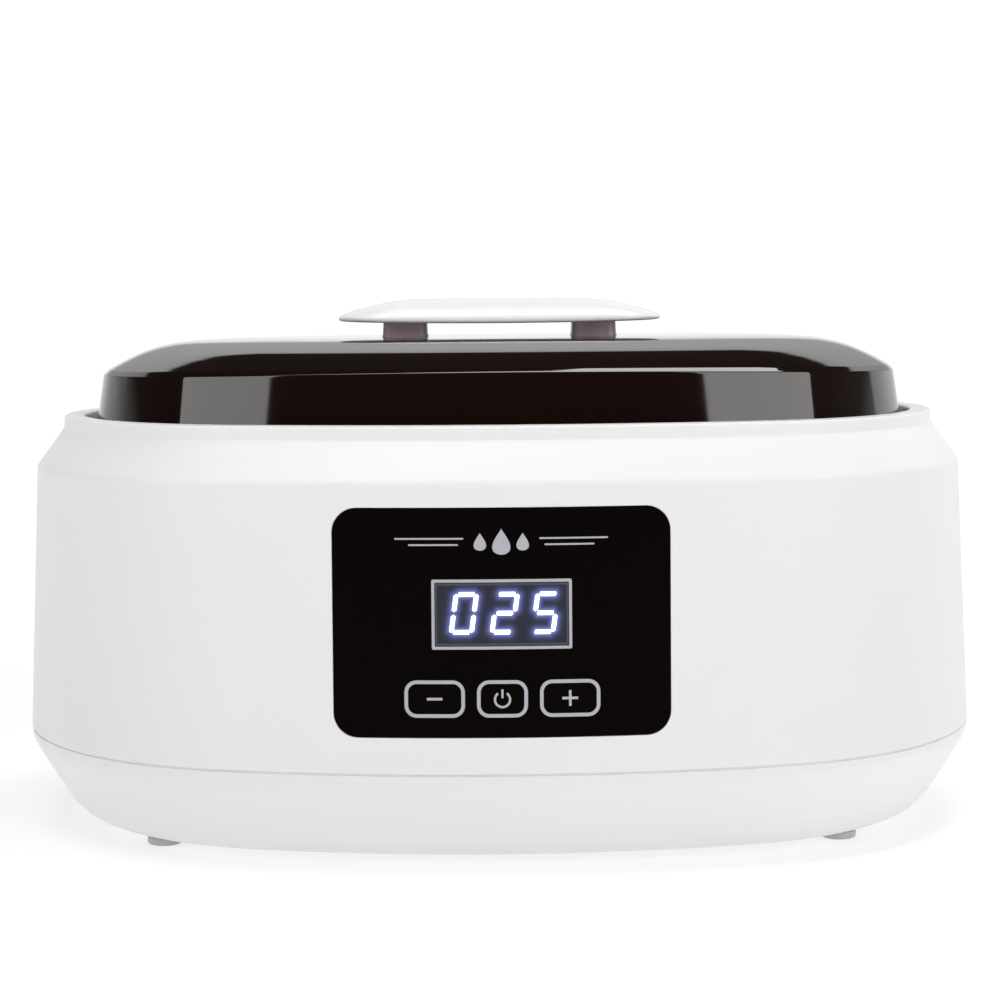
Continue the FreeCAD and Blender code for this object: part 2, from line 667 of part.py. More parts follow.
def heat_shield():
    blank = plate("shield_blank", "shield_z", "shield_thick", "shield_inset")
    holes = [rod(f"shield_hole_{i}", "1.5", "3", (x, y, "shield_z - 1"))
             for i, (x, y, _, _) in enumerate(four(*SHIELD_POST))]
    holes.append(prism("shield_slot", "76", "14", "6.9", ("4", "0", "shield_z - 1"), "3"))
    holes.append(prism("lead_slot", "10", "16", "4.9", ("72", "0", "shield_z - 1"), "3"))
    return finish(cut("heat_shield", blank, *holes), "heat_shield")


def shield_screws():
    down = turned_over(screw("shield_screw", "shield_screw_radius", "8", "2.6", "1.8"), "shield_screw_down",
                       UP_TO_DOWN)
    return copies("shield_screws", down, four(*SHIELD_POST, "shield_z + shield_thick"))


# ------------------------------------------------------------- power board

PCB_TOP = "pcb_z + board_thick"
PCB_SCREWS = [(x, y) for x in ("-55", "55") for y in ("-15", "39")]
TERMINALS_Y = "36"
HEATER_OUT = ("56", "0")
SENSOR_PLUG = ("38", "0")
RIBBON_X = "20"
RIBBON_END_Y = "-14"


def on_board(name, size, x, y):
    """A component that stands on the power board."""
    return block(name, size, (x, y, PCB_TOP))


def power_board():
    blank = prism("pcb_blank", "pcb_length", "pcb_width", "2", ("0", "pcb_y", "pcb_z"),
                  "board_thick")
    holes = [rod(f"pcb_hole_{i}", "1.3", "4", (x, y, "pcb_z - 1"))
             for i, (x, y) in enumerate(PCB_SCREWS)]
    return finish(cut("power_board", blank, *holes), "power_board")


def board_screws():
    down = turned_over(screw("board_screw", "board_screw_radius", "6", "2.3", "1.6"), "board_screw_down",
                       UP_TO_DOWN)
    return copies("board_screws", down, [(x, y, PCB_TOP, 0) for x, y in PCB_SCREWS])


def power_components():
    finish(on_board("relay", ("19", "15.5", "15.5"), "-40", "26"), "relay")
    core = on_board("transformer_core", ("24", "8", "16.5"), "2", "6")
    former = on_board("transformer_former", ("20", "20", "13"), "2", "6")
    finish(fuse("transformer", core, former), "transformer")
    finish(on_board("filter_capacitor", ("18", "8.5", "15"), "-20", "35"), "filter_capacitor")
    cans = [rod(f"can_{i}", "4.5", "13", (x, "-8", PCB_TOP)) for i, x in enumerate(("-22", "-34"))]
    group("smoothing_capacitors", cans)
    body = on_board("terminal_body", ("21", "9", "11"), "0", TERMINALS_Y)
    heads = [rod(f"terminal_head_{side}", "2", "4", (f"{side}*7", TERMINALS_Y, "pcb_z + 10"))
             for side in (-1, 1)]
    finish(cut("terminal_block", body, *heads), "terminal_block")
    finish(on_board("heater_terminals", ("8", "16", "10"), *HEATER_OUT), "heater_terminals")
    finish(on_board("sensor_plug", ("7", "9", "7"), *SENSOR_PLUG), "sensor_plug")
    finish(on_board("ribbon_socket", ("14", "6", "7"), RIBBON_X, RIBBON_END_Y), "ribbon_socket")


def board_fuse():
    """A glass tube fuse between two spring clips."""
    level = "pcb_z + board_thick + 4.5"
    tube = rod("board_fuse", "2.6", "20", ("26", "27", level), "x")
    finish(tube, "board_fuse")
    clips = []
    for index, x in enumerate(("28.5", "43.5")):
        clip = on_board(f"clip_{index}", ("4", "7.6", "6"), x, "27")
        bore = rod(f"clip_bore_{index}", "2.6", "6", (f"{x} - 3", "27", level), "x")
        mouth = block(f"clip_mouth_{index}", ("6", "4", "5"), (x, "27", level))
        clips.append(cut(f"fuse_clip_{index}", clip, bore, mouth))
    return group("fuse_clips", clips)


# ------------------------------------------------------------------- inlet

PINS = {"live": ("-7", "inlet_z - 2.5"), "neutral": ("7", "inlet_z - 2.5"),
        "earth": ("0", "inlet_z + 2.5")}
PIN_BACK_Y = "inlet_seat_y - 18"


def mains_inlet():
    outline = ("0", "inlet_seat_y", "inlet_z")
    flange = prism("inlet_plate", "inlet_width", "inlet_height", "4", outline, "inlet_flange", "y")
    case = prism("inlet_case", "socket_width + 3", "socket_height + 3.6", "3",
                 ("0", "inlet_seat_y - 15", "inlet_z"), "16", "y")
    mouth = prism("inlet_mouth", "socket_width", "socket_height", "3.5",
                  ("0", "inlet_seat_y - 13.4", "inlet_z"), "20", "y")
    cuts = [mouth]
    cuts += [rod(f"inlet_hole_{side}", "screw_radius", "8",
                 (f"{side}*inlet_screw_x", "inlet_seat_y - 2", "inlet_z"), "y") for side in (-1, 1)]
    cuts += [block(f"{name}_slot", ("2", "6", "4"), (x, "inlet_seat_y - 14", f"{z} - 2"))
             for name, (x, z) in PINS.items()]
    return finish(cut("mains_inlet", fuse("inlet_whole", flange, case), *cuts), "mains_inlet")


def inlet_pins():
    pins = [block(f"{name}_pin", ("2", "16.5", "4"), (x, f"{PIN_BACK_Y} + 8.25", f"{z} - 2"))
            for name, (x, z) in PINS.items()]
    return group("inlet_pins", pins)


def inlet_screws():
    template = screw("inlet_screw", "screw_radius", "7.5", "2.7", "1.4")
    forward = turned_over(template, "inlet_screw_forward", UP_TO_FRONT)
    stations = [(f"{side}*inlet_screw_x", "inlet_seat_y + inlet_flange", "inlet_z", 0) for side in (-1, 1)]
    return copies("inlet_screws", forward, stations)


# ------------------------------------------------------------------- wires


def routed(points, radius):
    """A wire's centre line: straight runs joined by tangent arcs."""
    corners = [V(*(value(c) for c in point)) for point in points]
    edges = []
    start = corners[0]
    for before, corner, after in zip(corners, corners[1:], corners[2:]):
        inward = (before - corner).normalize()
        outward = (after - corner).normalize()
        turn = math.pi - inward.getAngle(outward)
        back = radius * math.tan(turn / 2)
        enter, leave = corner + inward * back, corner + outward * back
        towards = (inward + outward).normalize()
        middle = corner + towards * (radius / math.cos(turn / 2) - radius)
        edges.append(Part.LineSegment(start, enter).toShape())
        edges.append(Part.Arc(enter, middle, leave).toShape())
        start = leave
    edges.append(Part.LineSegment(start, corners[-1]).toShape())
    return Part.Wire(edges)


def swept(points, bend, section):
    """A solid of one section along a routed line."""
    path = routed(points, bend)
    return path.makePipeShell([section], True, False)


def wire(label, routes, thickness, bend):
    """A node of insulated wires; each route starts square to its first run."""
    solids = []
    for points in routes:
        first, second = (V(*(value(c) for c in point)) for point in points[:2])
        round_edge = Part.Circle(first, second - first, thickness).toShape()
        solids.append(swept(points, bend, Part.Wire([round_edge])))
    item = new("Part::Feature", label)
    item.Shape = Part.makeCompound(solids)
    return finish(item, label)


def wires():
    drop_y, run_z = "75.6", "pcb_z + 7"
    mains = []
    for name in ("live", "neutral"):
        x, z = PINS[name]
        mains.append(((x, PIN_BACK_Y, z), (x, drop_y, z), (x, drop_y, run_z),
                      (x, f"{TERMINALS_Y} + 4.5", run_z)))
    wire("mains_wires", mains, 1.2, 3.6)
    x, z = PINS["earth"]
    top = "ledge_z - ledge_thick - 1.2"
    wire("earth_wire", [((x, PIN_BACK_Y, z), (x, drop_y, z), (x, drop_y, top))], 1.2, 3.6)
    out_x, level = f"{HEATER_OUT[0]} + 4", "pcb_z + 7"
    leads = [((out_x, y, level), (x, y, level), (x, y, "tub_floor_z - heater_thick"))
             for x, y in HEATER_LEADS]
    wire("heater_wires", leads, 1.2, 4.0)
    x, y = SENSOR_PLUG
    probe_z = "tub_floor_z - 2.5"
    wire("probe_wire", [(("32", "0", probe_z), (x, "0", probe_z), (x, y, "pcb_z + 8.6"))],
         0.9, 3.2)
    tab_z = "tub_floor_z - 14"
    wire("cutout_wires", [((f"{THERMOSTAT_X} + {side}*4", "0", tab_z),
                           (f"{THERMOSTAT_X} + {side}*4", "0", PCB_TOP)) for side in (-1, 1)],
         0.9, 3.2)


def display_cable():
    """A flat ribbon from the display board down to the power board."""
    y, low = f"{BOARD_BACK} + 2.2", "pcb_z + 15"
    points = ((RIBBON_X, y, "44"), (RIBBON_X, y, low), (RIBBON_X, RIBBON_END_Y, low),
              (RIBBON_X, RIBBON_END_Y, "pcb_z + board_thick + 7"))
    middle = V(*(value(c) for c in points[0]))
    half = V(6, 0, 0)
    thick = V(0, 0.5, 0)
    corners = [middle - half - thick, middle + half - thick, middle + half + thick,
               middle - half + thick]
    item = new("Part::Feature", "display_cable")
    item.Shape = swept(points, 3.2, Part.makePolygon(corners + corners[:1]))
    return finish(item, "display_cable")


# ----------------------------------------------------------- control panel

BOARD_BACK = "board_front_y + board_thick"


def control_panel():
    outline = front_prism("panel_outline", "panel_width", "panel_height", "panel_radius", "0",
                          "panel_z")
    sheet = skin("panel_sheet", outline, "panel_sink", "panel_sink + panel_thick")
    cuts = [front_prism("window_opening", "window_width + 0.1", "window_height + 0.1",
                        "window_radius", "0", "window_z")]
    for name, (x, width) in KEYS.items():
        cuts.append(front_prism(f"{name}_panel_opening", f"{width} + 2 * key_gap",
                                "key_height + 2 * key_gap", "key_radius", x, "key_z"))
    return finish(cut("control_panel", sheet, *cuts), "control_panel")


def display_window():
    outline = front_prism("window_outline", "window_width", "window_height", "window_radius",
                          "0", "window_z")
    return finish(skin("display_window", outline, "panel_sink", "panel_sink + panel_thick"),
                  "display_window")


def led_display():
    module = block("led_display", ("led_width", "led_depth", "led_height"),
                   ("0", "board_front_y - led_depth / 2", "window_z - led_height / 2"))
    return finish(module, "led_display")


def display_board():
    blank = front_prism("display_blank", "94", "66", "2", "0", "76", "board_thick")
    place(blank.Base, "0", "board_front_y", "76")
    holes = [rod(f"display_hole_{i}", "1.3", "6", (x, "board_front_y - 2", z), "y")
             for i, (x, z) in enumerate(BOARD_SCREWS)]
    finish(cut("display_board", blank, *holes), "display_board")
    plug = block("ribbon_plug", ("14", "4.4", "6"), (RIBBON_X, f"{BOARD_BACK} + 2.2", "44"))
    finish(plug, "ribbon_plug")
    forward = turned_over(screw("display_screw", "board_screw_radius", "6", "2.3", "1.6"),
                          "display_screw_forward", UP_TO_FRONT)
    copies("display_board_screws", forward, [(x, BOARD_BACK, z, 0) for x, z in BOARD_SCREWS])


def key_switches():
    bodies = []
    for name, (x, _) in KEYS.items():
        case = block(f"{name}_switch_case", ("6", "3.5", "6"),
                     (x, "board_front_y - 1.75", "key_z - 3"))
        bore = rod(f"{name}_switch_bore", "1.75", "1.7", (x, "board_front_y - 3.6", "key_z"), "y")
        bodies.append(cut(f"{name}_switch", case, bore))
    return group("key_switches", bodies)


def key(name):
    """A key cap: a pad in the panel, a lip behind the wall and a stem to the switch."""
    x, width = KEYS[name]
    pad = front_prism(f"{name}_pad", width, "key_height", "key_radius", x, "key_z")
    lip = front_prism(f"{name}_lip", f"{width} + 2 * key_lip", "key_height + 2 * key_lip",
                      "key_radius + key_lip", x, "key_z")
    behind = "wall + 0.1"
    stem = rod(f"{name}_stem", "2", "4.5", (x, "plunger_tip_y - 4.5", "key_z"), "y")
    inner = cut(f"{name}_stem_cut", stem, cut(f"{name}_stem_front", front_prism(
        f"{name}_stem_block", "6", "6", "1", x, "key_z"),
        wall_solid(f"{name}_stem_wall", *FACE, f"{behind} + 0.5")))
    cap = fuse(f"{name}_key", skin(f"{name}_face", pad, "panel_sink", f"{behind} + 0.6"),
               skin(f"{name}_flange", lip, behind, f"{behind} + key_lip_thick"), inner)
    finish(cap, f"{name}_key")
    plunger = rod(f"{name}_plunger", "1.7", "2.7", (x, "plunger_tip_y", "key_z"), "y")
    finish(plunger, f"{name}_switch_plunger")


# --------------------------------------------------------------------- lid


def lid_levels(deeper):
    """The lid's section, as (level, inset), moved in by deeper."""
    drop = f"0.95 * ({deeper})"
    crown = (("lid_crease_z + 2.2", "lid_crease_inset + 4.2"),
             ("lid_crease_z + 4.5", "lid_crease_inset + 8.8"),
             ("lid_crease_z + 6.5", "lid_crease_inset + 13.6"),
             ("lid_crease_z + 8.1", "lid_crease_inset + 19"),
             ("lid_crease_z + 9.2", "lid_crease_inset + 25.6"),
             ("lid_crease_z + 9.8", "lid_crease_inset + 35"), ("lid_top_z", "lid_top_inset"))
    return [(f"{z} - {drop}", f"{inset} + 0.4 * ({deeper})") for z, inset in crown]


def lid_shell():
    outer = loft("lid_body", [("lid_z", "lid_inset"), ("lid_crease_z", "lid_crease_inset"),
                              *lid_levels("0")])
    crease = ("lid_crease_z - 0.95 * lid_wall + 0.5", "lid_crease_inset + lid_wall")
    inner = loft("lid_hollow", [("lid_z - 1", "lid_inset + lid_wall"), crease,
                                *lid_levels("lid_wall")])
    shell = cut("lid_skin", outer, inner)
    posts = [prism(f"lid_post_{side}", "post_size", "post_size", "3",
                   (f"{side} * post_x", "0", "lid_top_z - 1.8"),
                   "handle_z - lid_top_z + 1.8") for side in (-1, 1)]
    holes = [rod(f"lid_hole_{side}", "1.8", "20", (f"{side} * post_x", "0", "lid_top_z - 10"))
             for side in (-1, 1)]
    return finish(cut("lid_shell", fuse("lid_solid", shell, *posts), *holes), "lid_shell")


def lid_handle():
    """A shallow white bar, thin at its edge and domed above."""
    sections = (("handle_length - 4", "handle_depth - 3", "14", "handle_z"),
                ("handle_length", "handle_depth", "15.5", "handle_z + 1.1"),
                ("handle_length - 0.4", "handle_depth - 0.4", "15.3", "handle_z + 2.7"),
                ("handle_length - 12", "handle_depth - 6", "12", "handle_top_z - 1.6"),
                ("handle_length - 25", "handle_depth - 14", "8", "handle_top_z"))
    body = new("Part::Loft", "handle_body")
    body.Sections = [rounded(f"handle_{i}", length, depth, radius, ("0", "0", level))
                     for i, (length, depth, radius, level) in enumerate(sections)]
    body.Solid = True
    body.Ruled = True
    holes = [rod(f"handle_pilot_{side}", "1.6", "5.2", (f"{side} * post_x", "0", "handle_z - 1"))
             for side in (-1, 1)]
    return finish(cut("lid_handle", body, *holes), "lid_handle")


def lid_screws():
    seat = "lid_top_z - 0.95 * lid_wall"
    item = screw("lid_screw", "1.6", "10.8", "3", "2")
    return copies("lid_screws", item, [(f"{side} * post_x", "0", seat, 0) for side in (-1, 1)])


# ------------------------------------------------------------------ grille


def floor_grille():
    """A loose perforated plate on short legs that keeps hands off the hot floor."""
    blank = plate("grille_blank", "grille_z", "grille_thick", "grille_inset")
    legs = [rod(f"grille_leg_{i}", "2.5", "grille_z - tub_floor_z - sheet - 0.3 + 0.5",
                (x, y, "tub_floor_z + sheet + 0.3"))
            for i, (x, y) in enumerate(HEATER_STUDS)]
    pitch, rows = 15, 3
    holes = []
    for row in range(-rows, rows + 1):
        reach = 6 if abs(row) < 2 else 5
        for column in range(-reach, reach + 1):
            x = pitch * (column + 0.5 * (row % 2))
            if abs(x) > pitch * reach or (abs(row) == rows and abs(x) > 60):
                continue
            holes.append(rod(f"grille_hole_{len(holes)}", "grille_hole", "grille_thick + 2",
                             (str(x), str(row * 13), "grille_z - 1")))
    plate_solid = cut("grille_plate", blank, *holes)
    return finish(fuse("floor_grille", plate_solid, *legs), "floor_grille")


# ------------------------------------------------------------------- build


def build():
    fill_sheet()
    outer_casing()
    base_casing()
    rubber_feet()
    base_screws()
    for make in (wax_tub, tub_gasket, tub_brackets, bracket_screws, tub_studs, heater_element,
                 heater_press_plate, heater_nuts, thermostat_nuts, safety_thermostat,
                 temperature_probe, probe_clip, thermal_fuse, insulation_wrap, heat_shield,
                 shield_screws, power_board, board_screws, power_components, board_fuse,
                 mains_inlet, inlet_pins, inlet_screws, wires, control_panel, display_window,
                 led_display, display_board, key_switches, display_cable, lid_shell, lid_handle,
                 lid_screws, floor_grille):
        make()
    for name in KEYS:
        key(name)
    DOC.recompute()


def check():
    """Stops on any failed object or faulty shape."""
    for item in DOC.Objects:
        if "Invalid" in item.State or "Error" in item.State:
            raise SystemExit(f"{item.Label} failed: {item.State}")
    for label, item in NODES.items():
        shape = item.Shape
        if shape.isNull() or not shape.isValid() or not shape.Solids:
            raise SystemExit(f"{label} has no valid solid")


def export():
    os.makedirs("parts", exist_ok=True)
    for label, item in NODES.items():
        item.Shape.exportStep(os.path.join("parts", f"{label}.step"))
        box = item.Shape.BoundBox
        print(f"{label:24s} {len(item.Shape.Solids)} solid(s)  {box.XLength:7.1f}"
              f"{box.YLength:7.1f}{box.ZLength:7.1f}  volume {item.Shape.Volume:10.0f}")


build()
check()
export()
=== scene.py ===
"""Looks of the paraffin wax bath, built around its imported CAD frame."""

import json
import math

import bmesh
import bpy
from mathutils import Matrix, Vector


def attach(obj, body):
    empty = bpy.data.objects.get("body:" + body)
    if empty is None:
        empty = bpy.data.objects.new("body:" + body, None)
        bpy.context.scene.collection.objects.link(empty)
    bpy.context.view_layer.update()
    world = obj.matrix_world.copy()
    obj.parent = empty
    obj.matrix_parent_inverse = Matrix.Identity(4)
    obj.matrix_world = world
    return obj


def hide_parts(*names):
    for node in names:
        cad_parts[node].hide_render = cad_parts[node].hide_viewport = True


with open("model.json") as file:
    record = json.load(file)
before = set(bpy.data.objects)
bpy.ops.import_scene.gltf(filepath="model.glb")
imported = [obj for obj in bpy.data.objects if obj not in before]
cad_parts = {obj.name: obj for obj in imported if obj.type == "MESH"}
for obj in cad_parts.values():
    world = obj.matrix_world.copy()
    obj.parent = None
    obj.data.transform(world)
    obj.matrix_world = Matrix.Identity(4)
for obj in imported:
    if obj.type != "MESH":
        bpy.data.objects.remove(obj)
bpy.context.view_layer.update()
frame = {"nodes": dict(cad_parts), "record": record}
MM = 0.001

# Driving dimensions of the casing, in millimetres, as in the CAD model.
HALF_LENGTH, HALF_DEPTH, FRONT_ARC = 155.0, 103.0, 340.0
PARTING_Z, SHOULDER_Z, SHOULDER_INSET = 31.2, 116.1, 3.93
RIM_BASE_Z, RIM_Z, RIM_INSET, RIM_WIDTH = 128.0, 132.1, 12.7, 6.9
LEDGE_Z, LEDGE_THICK, OPENING_INSET, WALL = 126.4, 2.2, 33.8, 2.5
LID_Z, LID_INSET, CREASE_Z, CREASE_INSET, LID_WALL = 128.3, 22.7, 146.2, 25.4, 2.2
POST_X = 31.0
# The handle's posts flare where they meet the crown: (level, width, corner radius).
POST_SECTIONS = ((155.9, 15.6, 3.6), (156.5, 15.0, 3.2), (157.2, 14.7, 3.0), (162.1, 14.1, 2.8))
# The lid lies a little off centre in its seat, and so does the handle on it.
LID_SHIFT, HANDLE_SHIFT = 0.4, 0.8
PANEL_SINK, PANEL_THICK, PANEL_Z = 0.15, 0.8, 75.6
PANEL_SIZE, PANEL_RADIUS, PANEL_GAP = (98.4, 66.8), 7.2, 0.15
WINDOW_SIZE, WINDOW_Z = (40.8, 20.4), 78.1
KEY_Z, KEY_HEIGHT, KEY_RADIUS, KEY_GAP = 53.5, 11.0, 3.6, 0.2
KEYS = {"low": (-19.7, 17.7), "power": (0.0, 14.9), "high": (19.7, 17.7)}
INLET_Z, INLET_SEAT_Y = 52.0, 98.6

# The plan is four tangent arcs: the end arcs follow from the long ones.
END_RADIUS = ((FRONT_ARC ** 2 - (FRONT_ARC - HALF_DEPTH) ** 2 - HALF_LENGTH ** 2)
              / (2 * (FRONT_ARC - HALF_LENGTH)))
END_X = HALF_LENGTH - END_RADIUS
ARC_RISE = FRONT_ARC - HALF_DEPTH
LEAN = math.atan2(ARC_RISE, END_X)
LONG_STEPS, END_STEPS, TURNED_STEPS = 56, 110, 48

# Plates that follow the curved wall are cut into upright strips of this width.
STRIP = 2.5
SMOOTH_ANGLE = 35.0


# ------------------------------------------------------------------- camera


CAMERA_PLACE, LENS, SENSOR, SHIFT_X = (-0.0057, -0.75, 0.17385), 81.37, 36.0, 0.0022
LOOK_DOWN, TURN, ROLL = math.radians(5.506), -0.0076, -0.0078


def make_camera():
    """The camera stands in front, a little above the lid, and looks slightly down."""
    data = bpy.data.cameras.new("camera")
    data.sensor_width = SENSOR
    data.lens = LENS
    data.shift_x = SHIFT_X
    data.clip_start = 0.01
    camera = bpy.data.objects.new("camera", data)
    bpy.context.scene.collection.objects.link(camera)
    turn = (Matrix.Rotation(TURN, 4, "Z") @ Matrix.Rotation(math.pi / 2 - LOOK_DOWN, 4, "X")
            @ Matrix.Rotation(ROLL, 4, "Z"))
    camera.matrix_world = Matrix.Translation(CAMERA_PLACE) @ turn
    bpy.context.scene.camera = camera


# --------------------------------------------------------------- mesh tools


def add_object(name, bm, smooth_angle=SMOOTH_ANGLE):
    """A finished mesh, in metres, from a bmesh drawn in millimetres."""
    bmesh.ops.recalc_face_normals(bm, faces=bm.faces)
    for vert in bm.verts:
        vert.co *= MM
    mesh = bpy.data.meshes.new(name)
    bm.to_mesh(mesh)
    bm.free()
    shade(mesh, smooth_angle)
    item = bpy.data.objects.new(name, mesh)
    bpy.context.scene.collection.objects.link(item)
    return item


def shade(mesh, smooth_angle=SMOOTH_ANGLE):
    """Smooth shading, broken where faces meet at more than an angle."""
    mesh.shade_smooth()
    mesh.set_sharp_from_angle(angle=math.radians(smooth_angle))


def ring(inset):
    """Points of the oval plan moved in by inset, anticlockwise from the front's left."""
    points = []
    arcs = ((0, ARC_RISE, FRONT_ARC, LEAN - math.pi, -LEAN, LONG_STEPS),
            (END_X, 0, END_RADIUS, -LEAN, LEAN, END_STEPS),
            (0, -ARC_RISE, FRONT_ARC, LEAN, math.pi - LEAN, LONG_STEPS),
            (-END_X, 0, END_RADIUS, math.pi - LEAN, math.pi + LEAN, END_STEPS))
    for centre_x, centre_y, radius, start, end, steps in arcs:
        for step in range(steps):
            angle = start + (end - start) * step / steps
            points.append((centre_x + (radius - inset) * math.cos(angle),
                           centre_y + (radius - inset) * math.sin(angle)))
    return points


def rounded_path(corners, closed=False, spacing=9.0):
    """A path through (u, v, radius) corners, with round corners and even support points."""
    count = len(corners)
    path = []
    for index, (u, v, radius) in enumerate(corners):
        here = Vector((u, v))
        if not closed and index in (0, count - 1) or radius <= 0:
            path.append((here, here))
            continue
        before = Vector(corners[index - 1][:2]) - here
        after = Vector(corners[(index + 1) % count][:2]) - here
        turn = math.pi - before.angle(after)
        back = radius * math.tan(turn / 2)
        limit = 0.48 * min(before.length, after.length)
        if back > limit:
            radius *= limit / back
            back = limit
        before.normalize()
        after.normalize()
        centre = here + (before + after).normalized() * (radius / math.cos(turn / 2))
        start = here + before * back - centre
        steps = max(3, int(math.degrees(turn) / 11))
        sweep = start.angle_signed(here + after * back - centre)
        arc = []
        for step in range(steps + 1):
            angle = -sweep * step / steps
            arc.append(centre + Matrix.Rotation(angle, 2) @ start)
        path.append(tuple(arc))
    points = []
    spans = count if closed else count - 1
    for index in range(count):
        points.extend(path[index] if path[index][0] != path[index][-1] else path[index][:1])
        if index >= spans:
            break
        start, end = path[index][-1], path[(index + 1) % count][0]
        length = (end - start).length
        support = min(0.5, length * 0.2)
        inner = max(1, int(length / spacing))
        for step in range(inner + 1):
            along = support + (length - 2 * support) * step / inner
            if length > 0.6:
                points.append(start.lerp(end, along / length))
    return [(p[0], p[1]) for p in points]


def bridge(bm, first, second):
    """Joins two rings of vertices with a band of four-sided faces."""
    count = len(first)
    for index in range(count):
        after = (index + 1) % count
        bm.faces.new((first[index], first[after], second[after], second[index]))


def stacked(bm, outlines):
    """Adds a closed skin over a stack of outlines, each a list of (x, y, z) points."""
    stack = [[bm.verts.new(point) for point in outline] for outline in outlines]
    for first, second in zip(stack, stack[1:]):
        bridge(bm, first, second)
    bm.faces.new(list(reversed(stack[0])))
    bm.faces.new(stack[-1])


def level_rings(path):
    """The oval plan's outline at each (inset, level) of a section."""
    return [[(x, y, level) for x, y in ring(inset)] for inset, level in path]


def oval_solid(name, path):
    """A solid whose (inset, level) section runs round the oval plan and is capped inside."""
    bm = bmesh.new()
    stacked(bm, level_rings(path))
    return add_object(name, bm)


def oval_hoop(name, path):
    """A hoop whose closed (inset, level) section runs round the oval plan."""
    bm = bmesh.new()
    rings = [[bm.verts.new(point) for point in outline] for outline in level_rings(path)]
    for first, second in zip(rings, rings[1:] + rings[:1]):
        bridge(bm, first, second)
    return add_object(name, bm)


def lathe(bm, path, x, y):
    """Adds an upright turned solid at (x, y): a path of (radius, height)."""
    foot = Vector((x, y, 0))
    columns = []
    for step in range(TURNED_STEPS):
        angle = 2 * math.pi * step / TURNED_STEPS
        columns.append([bm.verts.new(foot + Vector((radius * math.cos(angle),
                                                    radius * math.sin(angle), height)))
                        for radius, height in path])
    for step in range(TURNED_STEPS):
        left, right = columns[step], columns[(step + 1) % TURNED_STEPS]
        for index in range(len(path) - 1):
            bm.faces.new((left[index], right[index], right[index + 1], left[index + 1]))
    bm.faces.new([column[0] for column in columns])
    bm.faces.new([column[-1] for column in reversed(columns)])


def rounded_rect(width, height, radius, centre=(0.0, 0.0), steps=10):
    """An anticlockwise outline with round corners."""
    points = []
    for quarter, (side, top) in enumerate(((1, -1), (1, 1), (-1, 1), (-1, -1))):
        u = centre[0] + side * (width / 2 - radius)
        v = centre[1] + top * (height / 2 - radius)
        for step in range(steps + 1):
            angle = math.pi / 2 * (quarter - 1 + step / steps)
            points.append((u + radius * math.cos(angle), v + radius * math.sin(angle)))
    return points


def wall_y(x, z, depth):
    """The front wall's surface, moved in by depth."""
    inset = SHOULDER_INSET * (z - PARTING_Z) / (SHOULDER_Z - PARTING_Z)
    radius = FRONT_ARC - inset - depth
    return ARC_RISE - math.sqrt(radius * radius - x * x)


def flat_plate(loops, outer, inner):
    """A bmesh of a plate in the X-Z plane: outline loops filled between two depths."""
    bm = bmesh.new()
    for loop in loops:
        verts = [bm.verts.new((x, 0, z)) for x, z in loop]
        for index, vert in enumerate(verts):
            bm.edges.new((vert, verts[(index + 1) % len(verts)]))
    bmesh.ops.triangle_fill(bm, use_beauty=True, use_dissolve=False, edges=bm.edges[:])
    low = min(x for x, _ in loops[0])
    high = max(x for x, _ in loops[0])
    for step in range(1, int((high - low) / STRIP) + 1):
        geometry = bm.verts[:] + bm.edges[:] + bm.faces[:]
        bmesh.ops.bisect_plane(bm, geom=geometry, plane_co=(low + step * STRIP, 0, 0),
                               plane_no=(1, 0, 0))
    border = [edge for edge in bm.edges if edge.is_boundary]
    twins = {}
    for vert in bm.verts[:]:
        twins[vert] = bm.verts.new((vert.co.x, inner, vert.co.z))
        vert.co.y = outer
    for face in bm.faces[:]:
        bm.faces.new([twins[vert] for vert in reversed(face.verts)])
    for edge in border:
        a, b = edge.verts
        bm.faces.new((a, b, twins[b], twins[a]))
    return bm


def on_wall(name, loops, outer, inner, bevel=0.0):
    """A plate that follows the curved front wall between two depths below its surface."""
    bm = flat_plate(loops, outer, inner)
    for vert in bm.verts:
        vert.co.y = wall_y(vert.co.x, vert.co.z, vert.co.y)
    item = add_object(name, bm)
    if bevel:
        add_bevel(item, bevel)
    return item


def add_bevel(item, width):
    modifier = item.modifiers.new("edge", "BEVEL")
    modifier.width = width * MM
    modifier.segments = 2
    modifier.limit_method = "ANGLE"
    modifier.angle_limit = math.radians(50.0)
    modifier.harden_normals = True


def boolean(item, cutters, operation="DIFFERENCE"):
    """Cuts meshes out of a piece, or joins them to it, and removes them."""
    for cutter in cutters:
        modifier = item.modifiers.new("cut", "BOOLEAN")
        modifier.operation = operation
        modifier.solver = "EXACT"
        modifier.object = cutter
    bpy.context.view_layer.update()
    graph = bpy.context.evaluated_depsgraph_get()
    mesh = bpy.data.meshes.new_from_object(item.evaluated_get(graph))
    item.modifiers.clear()
    old, item.data = item.data, mesh
    mesh.name = item.name
    bpy.data.meshes.remove(old)
    for cutter in cutters:
        bpy.data.objects.remove(cutter)
    shade(mesh)


def box_mesh(name, low, high):
    """A plain box between two corners, to join or to cut with."""
    bm = bmesh.new()
    bmesh.ops.create_cube(bm, size=1.0)
    for vert in bm.verts:
        vert.co = Vector([low[i] if vert.co[i] < 0 else high[i] for i in range(3)])
    return add_object(name, bm)


def bar_along_y(name, outline, start, end):
    """A prism with an (x, z) outline, between two places along Y."""
    bm = bmesh.new()
    near = [bm.verts.new((x, start, z)) for x, z in outline]
    far = [bm.verts.new((x, end, z)) for x, z in outline]
    bridge(bm, near, far)
    bm.faces.new(near)
    bm.faces.new(list(reversed(far)))
    return add_object(name, bm)


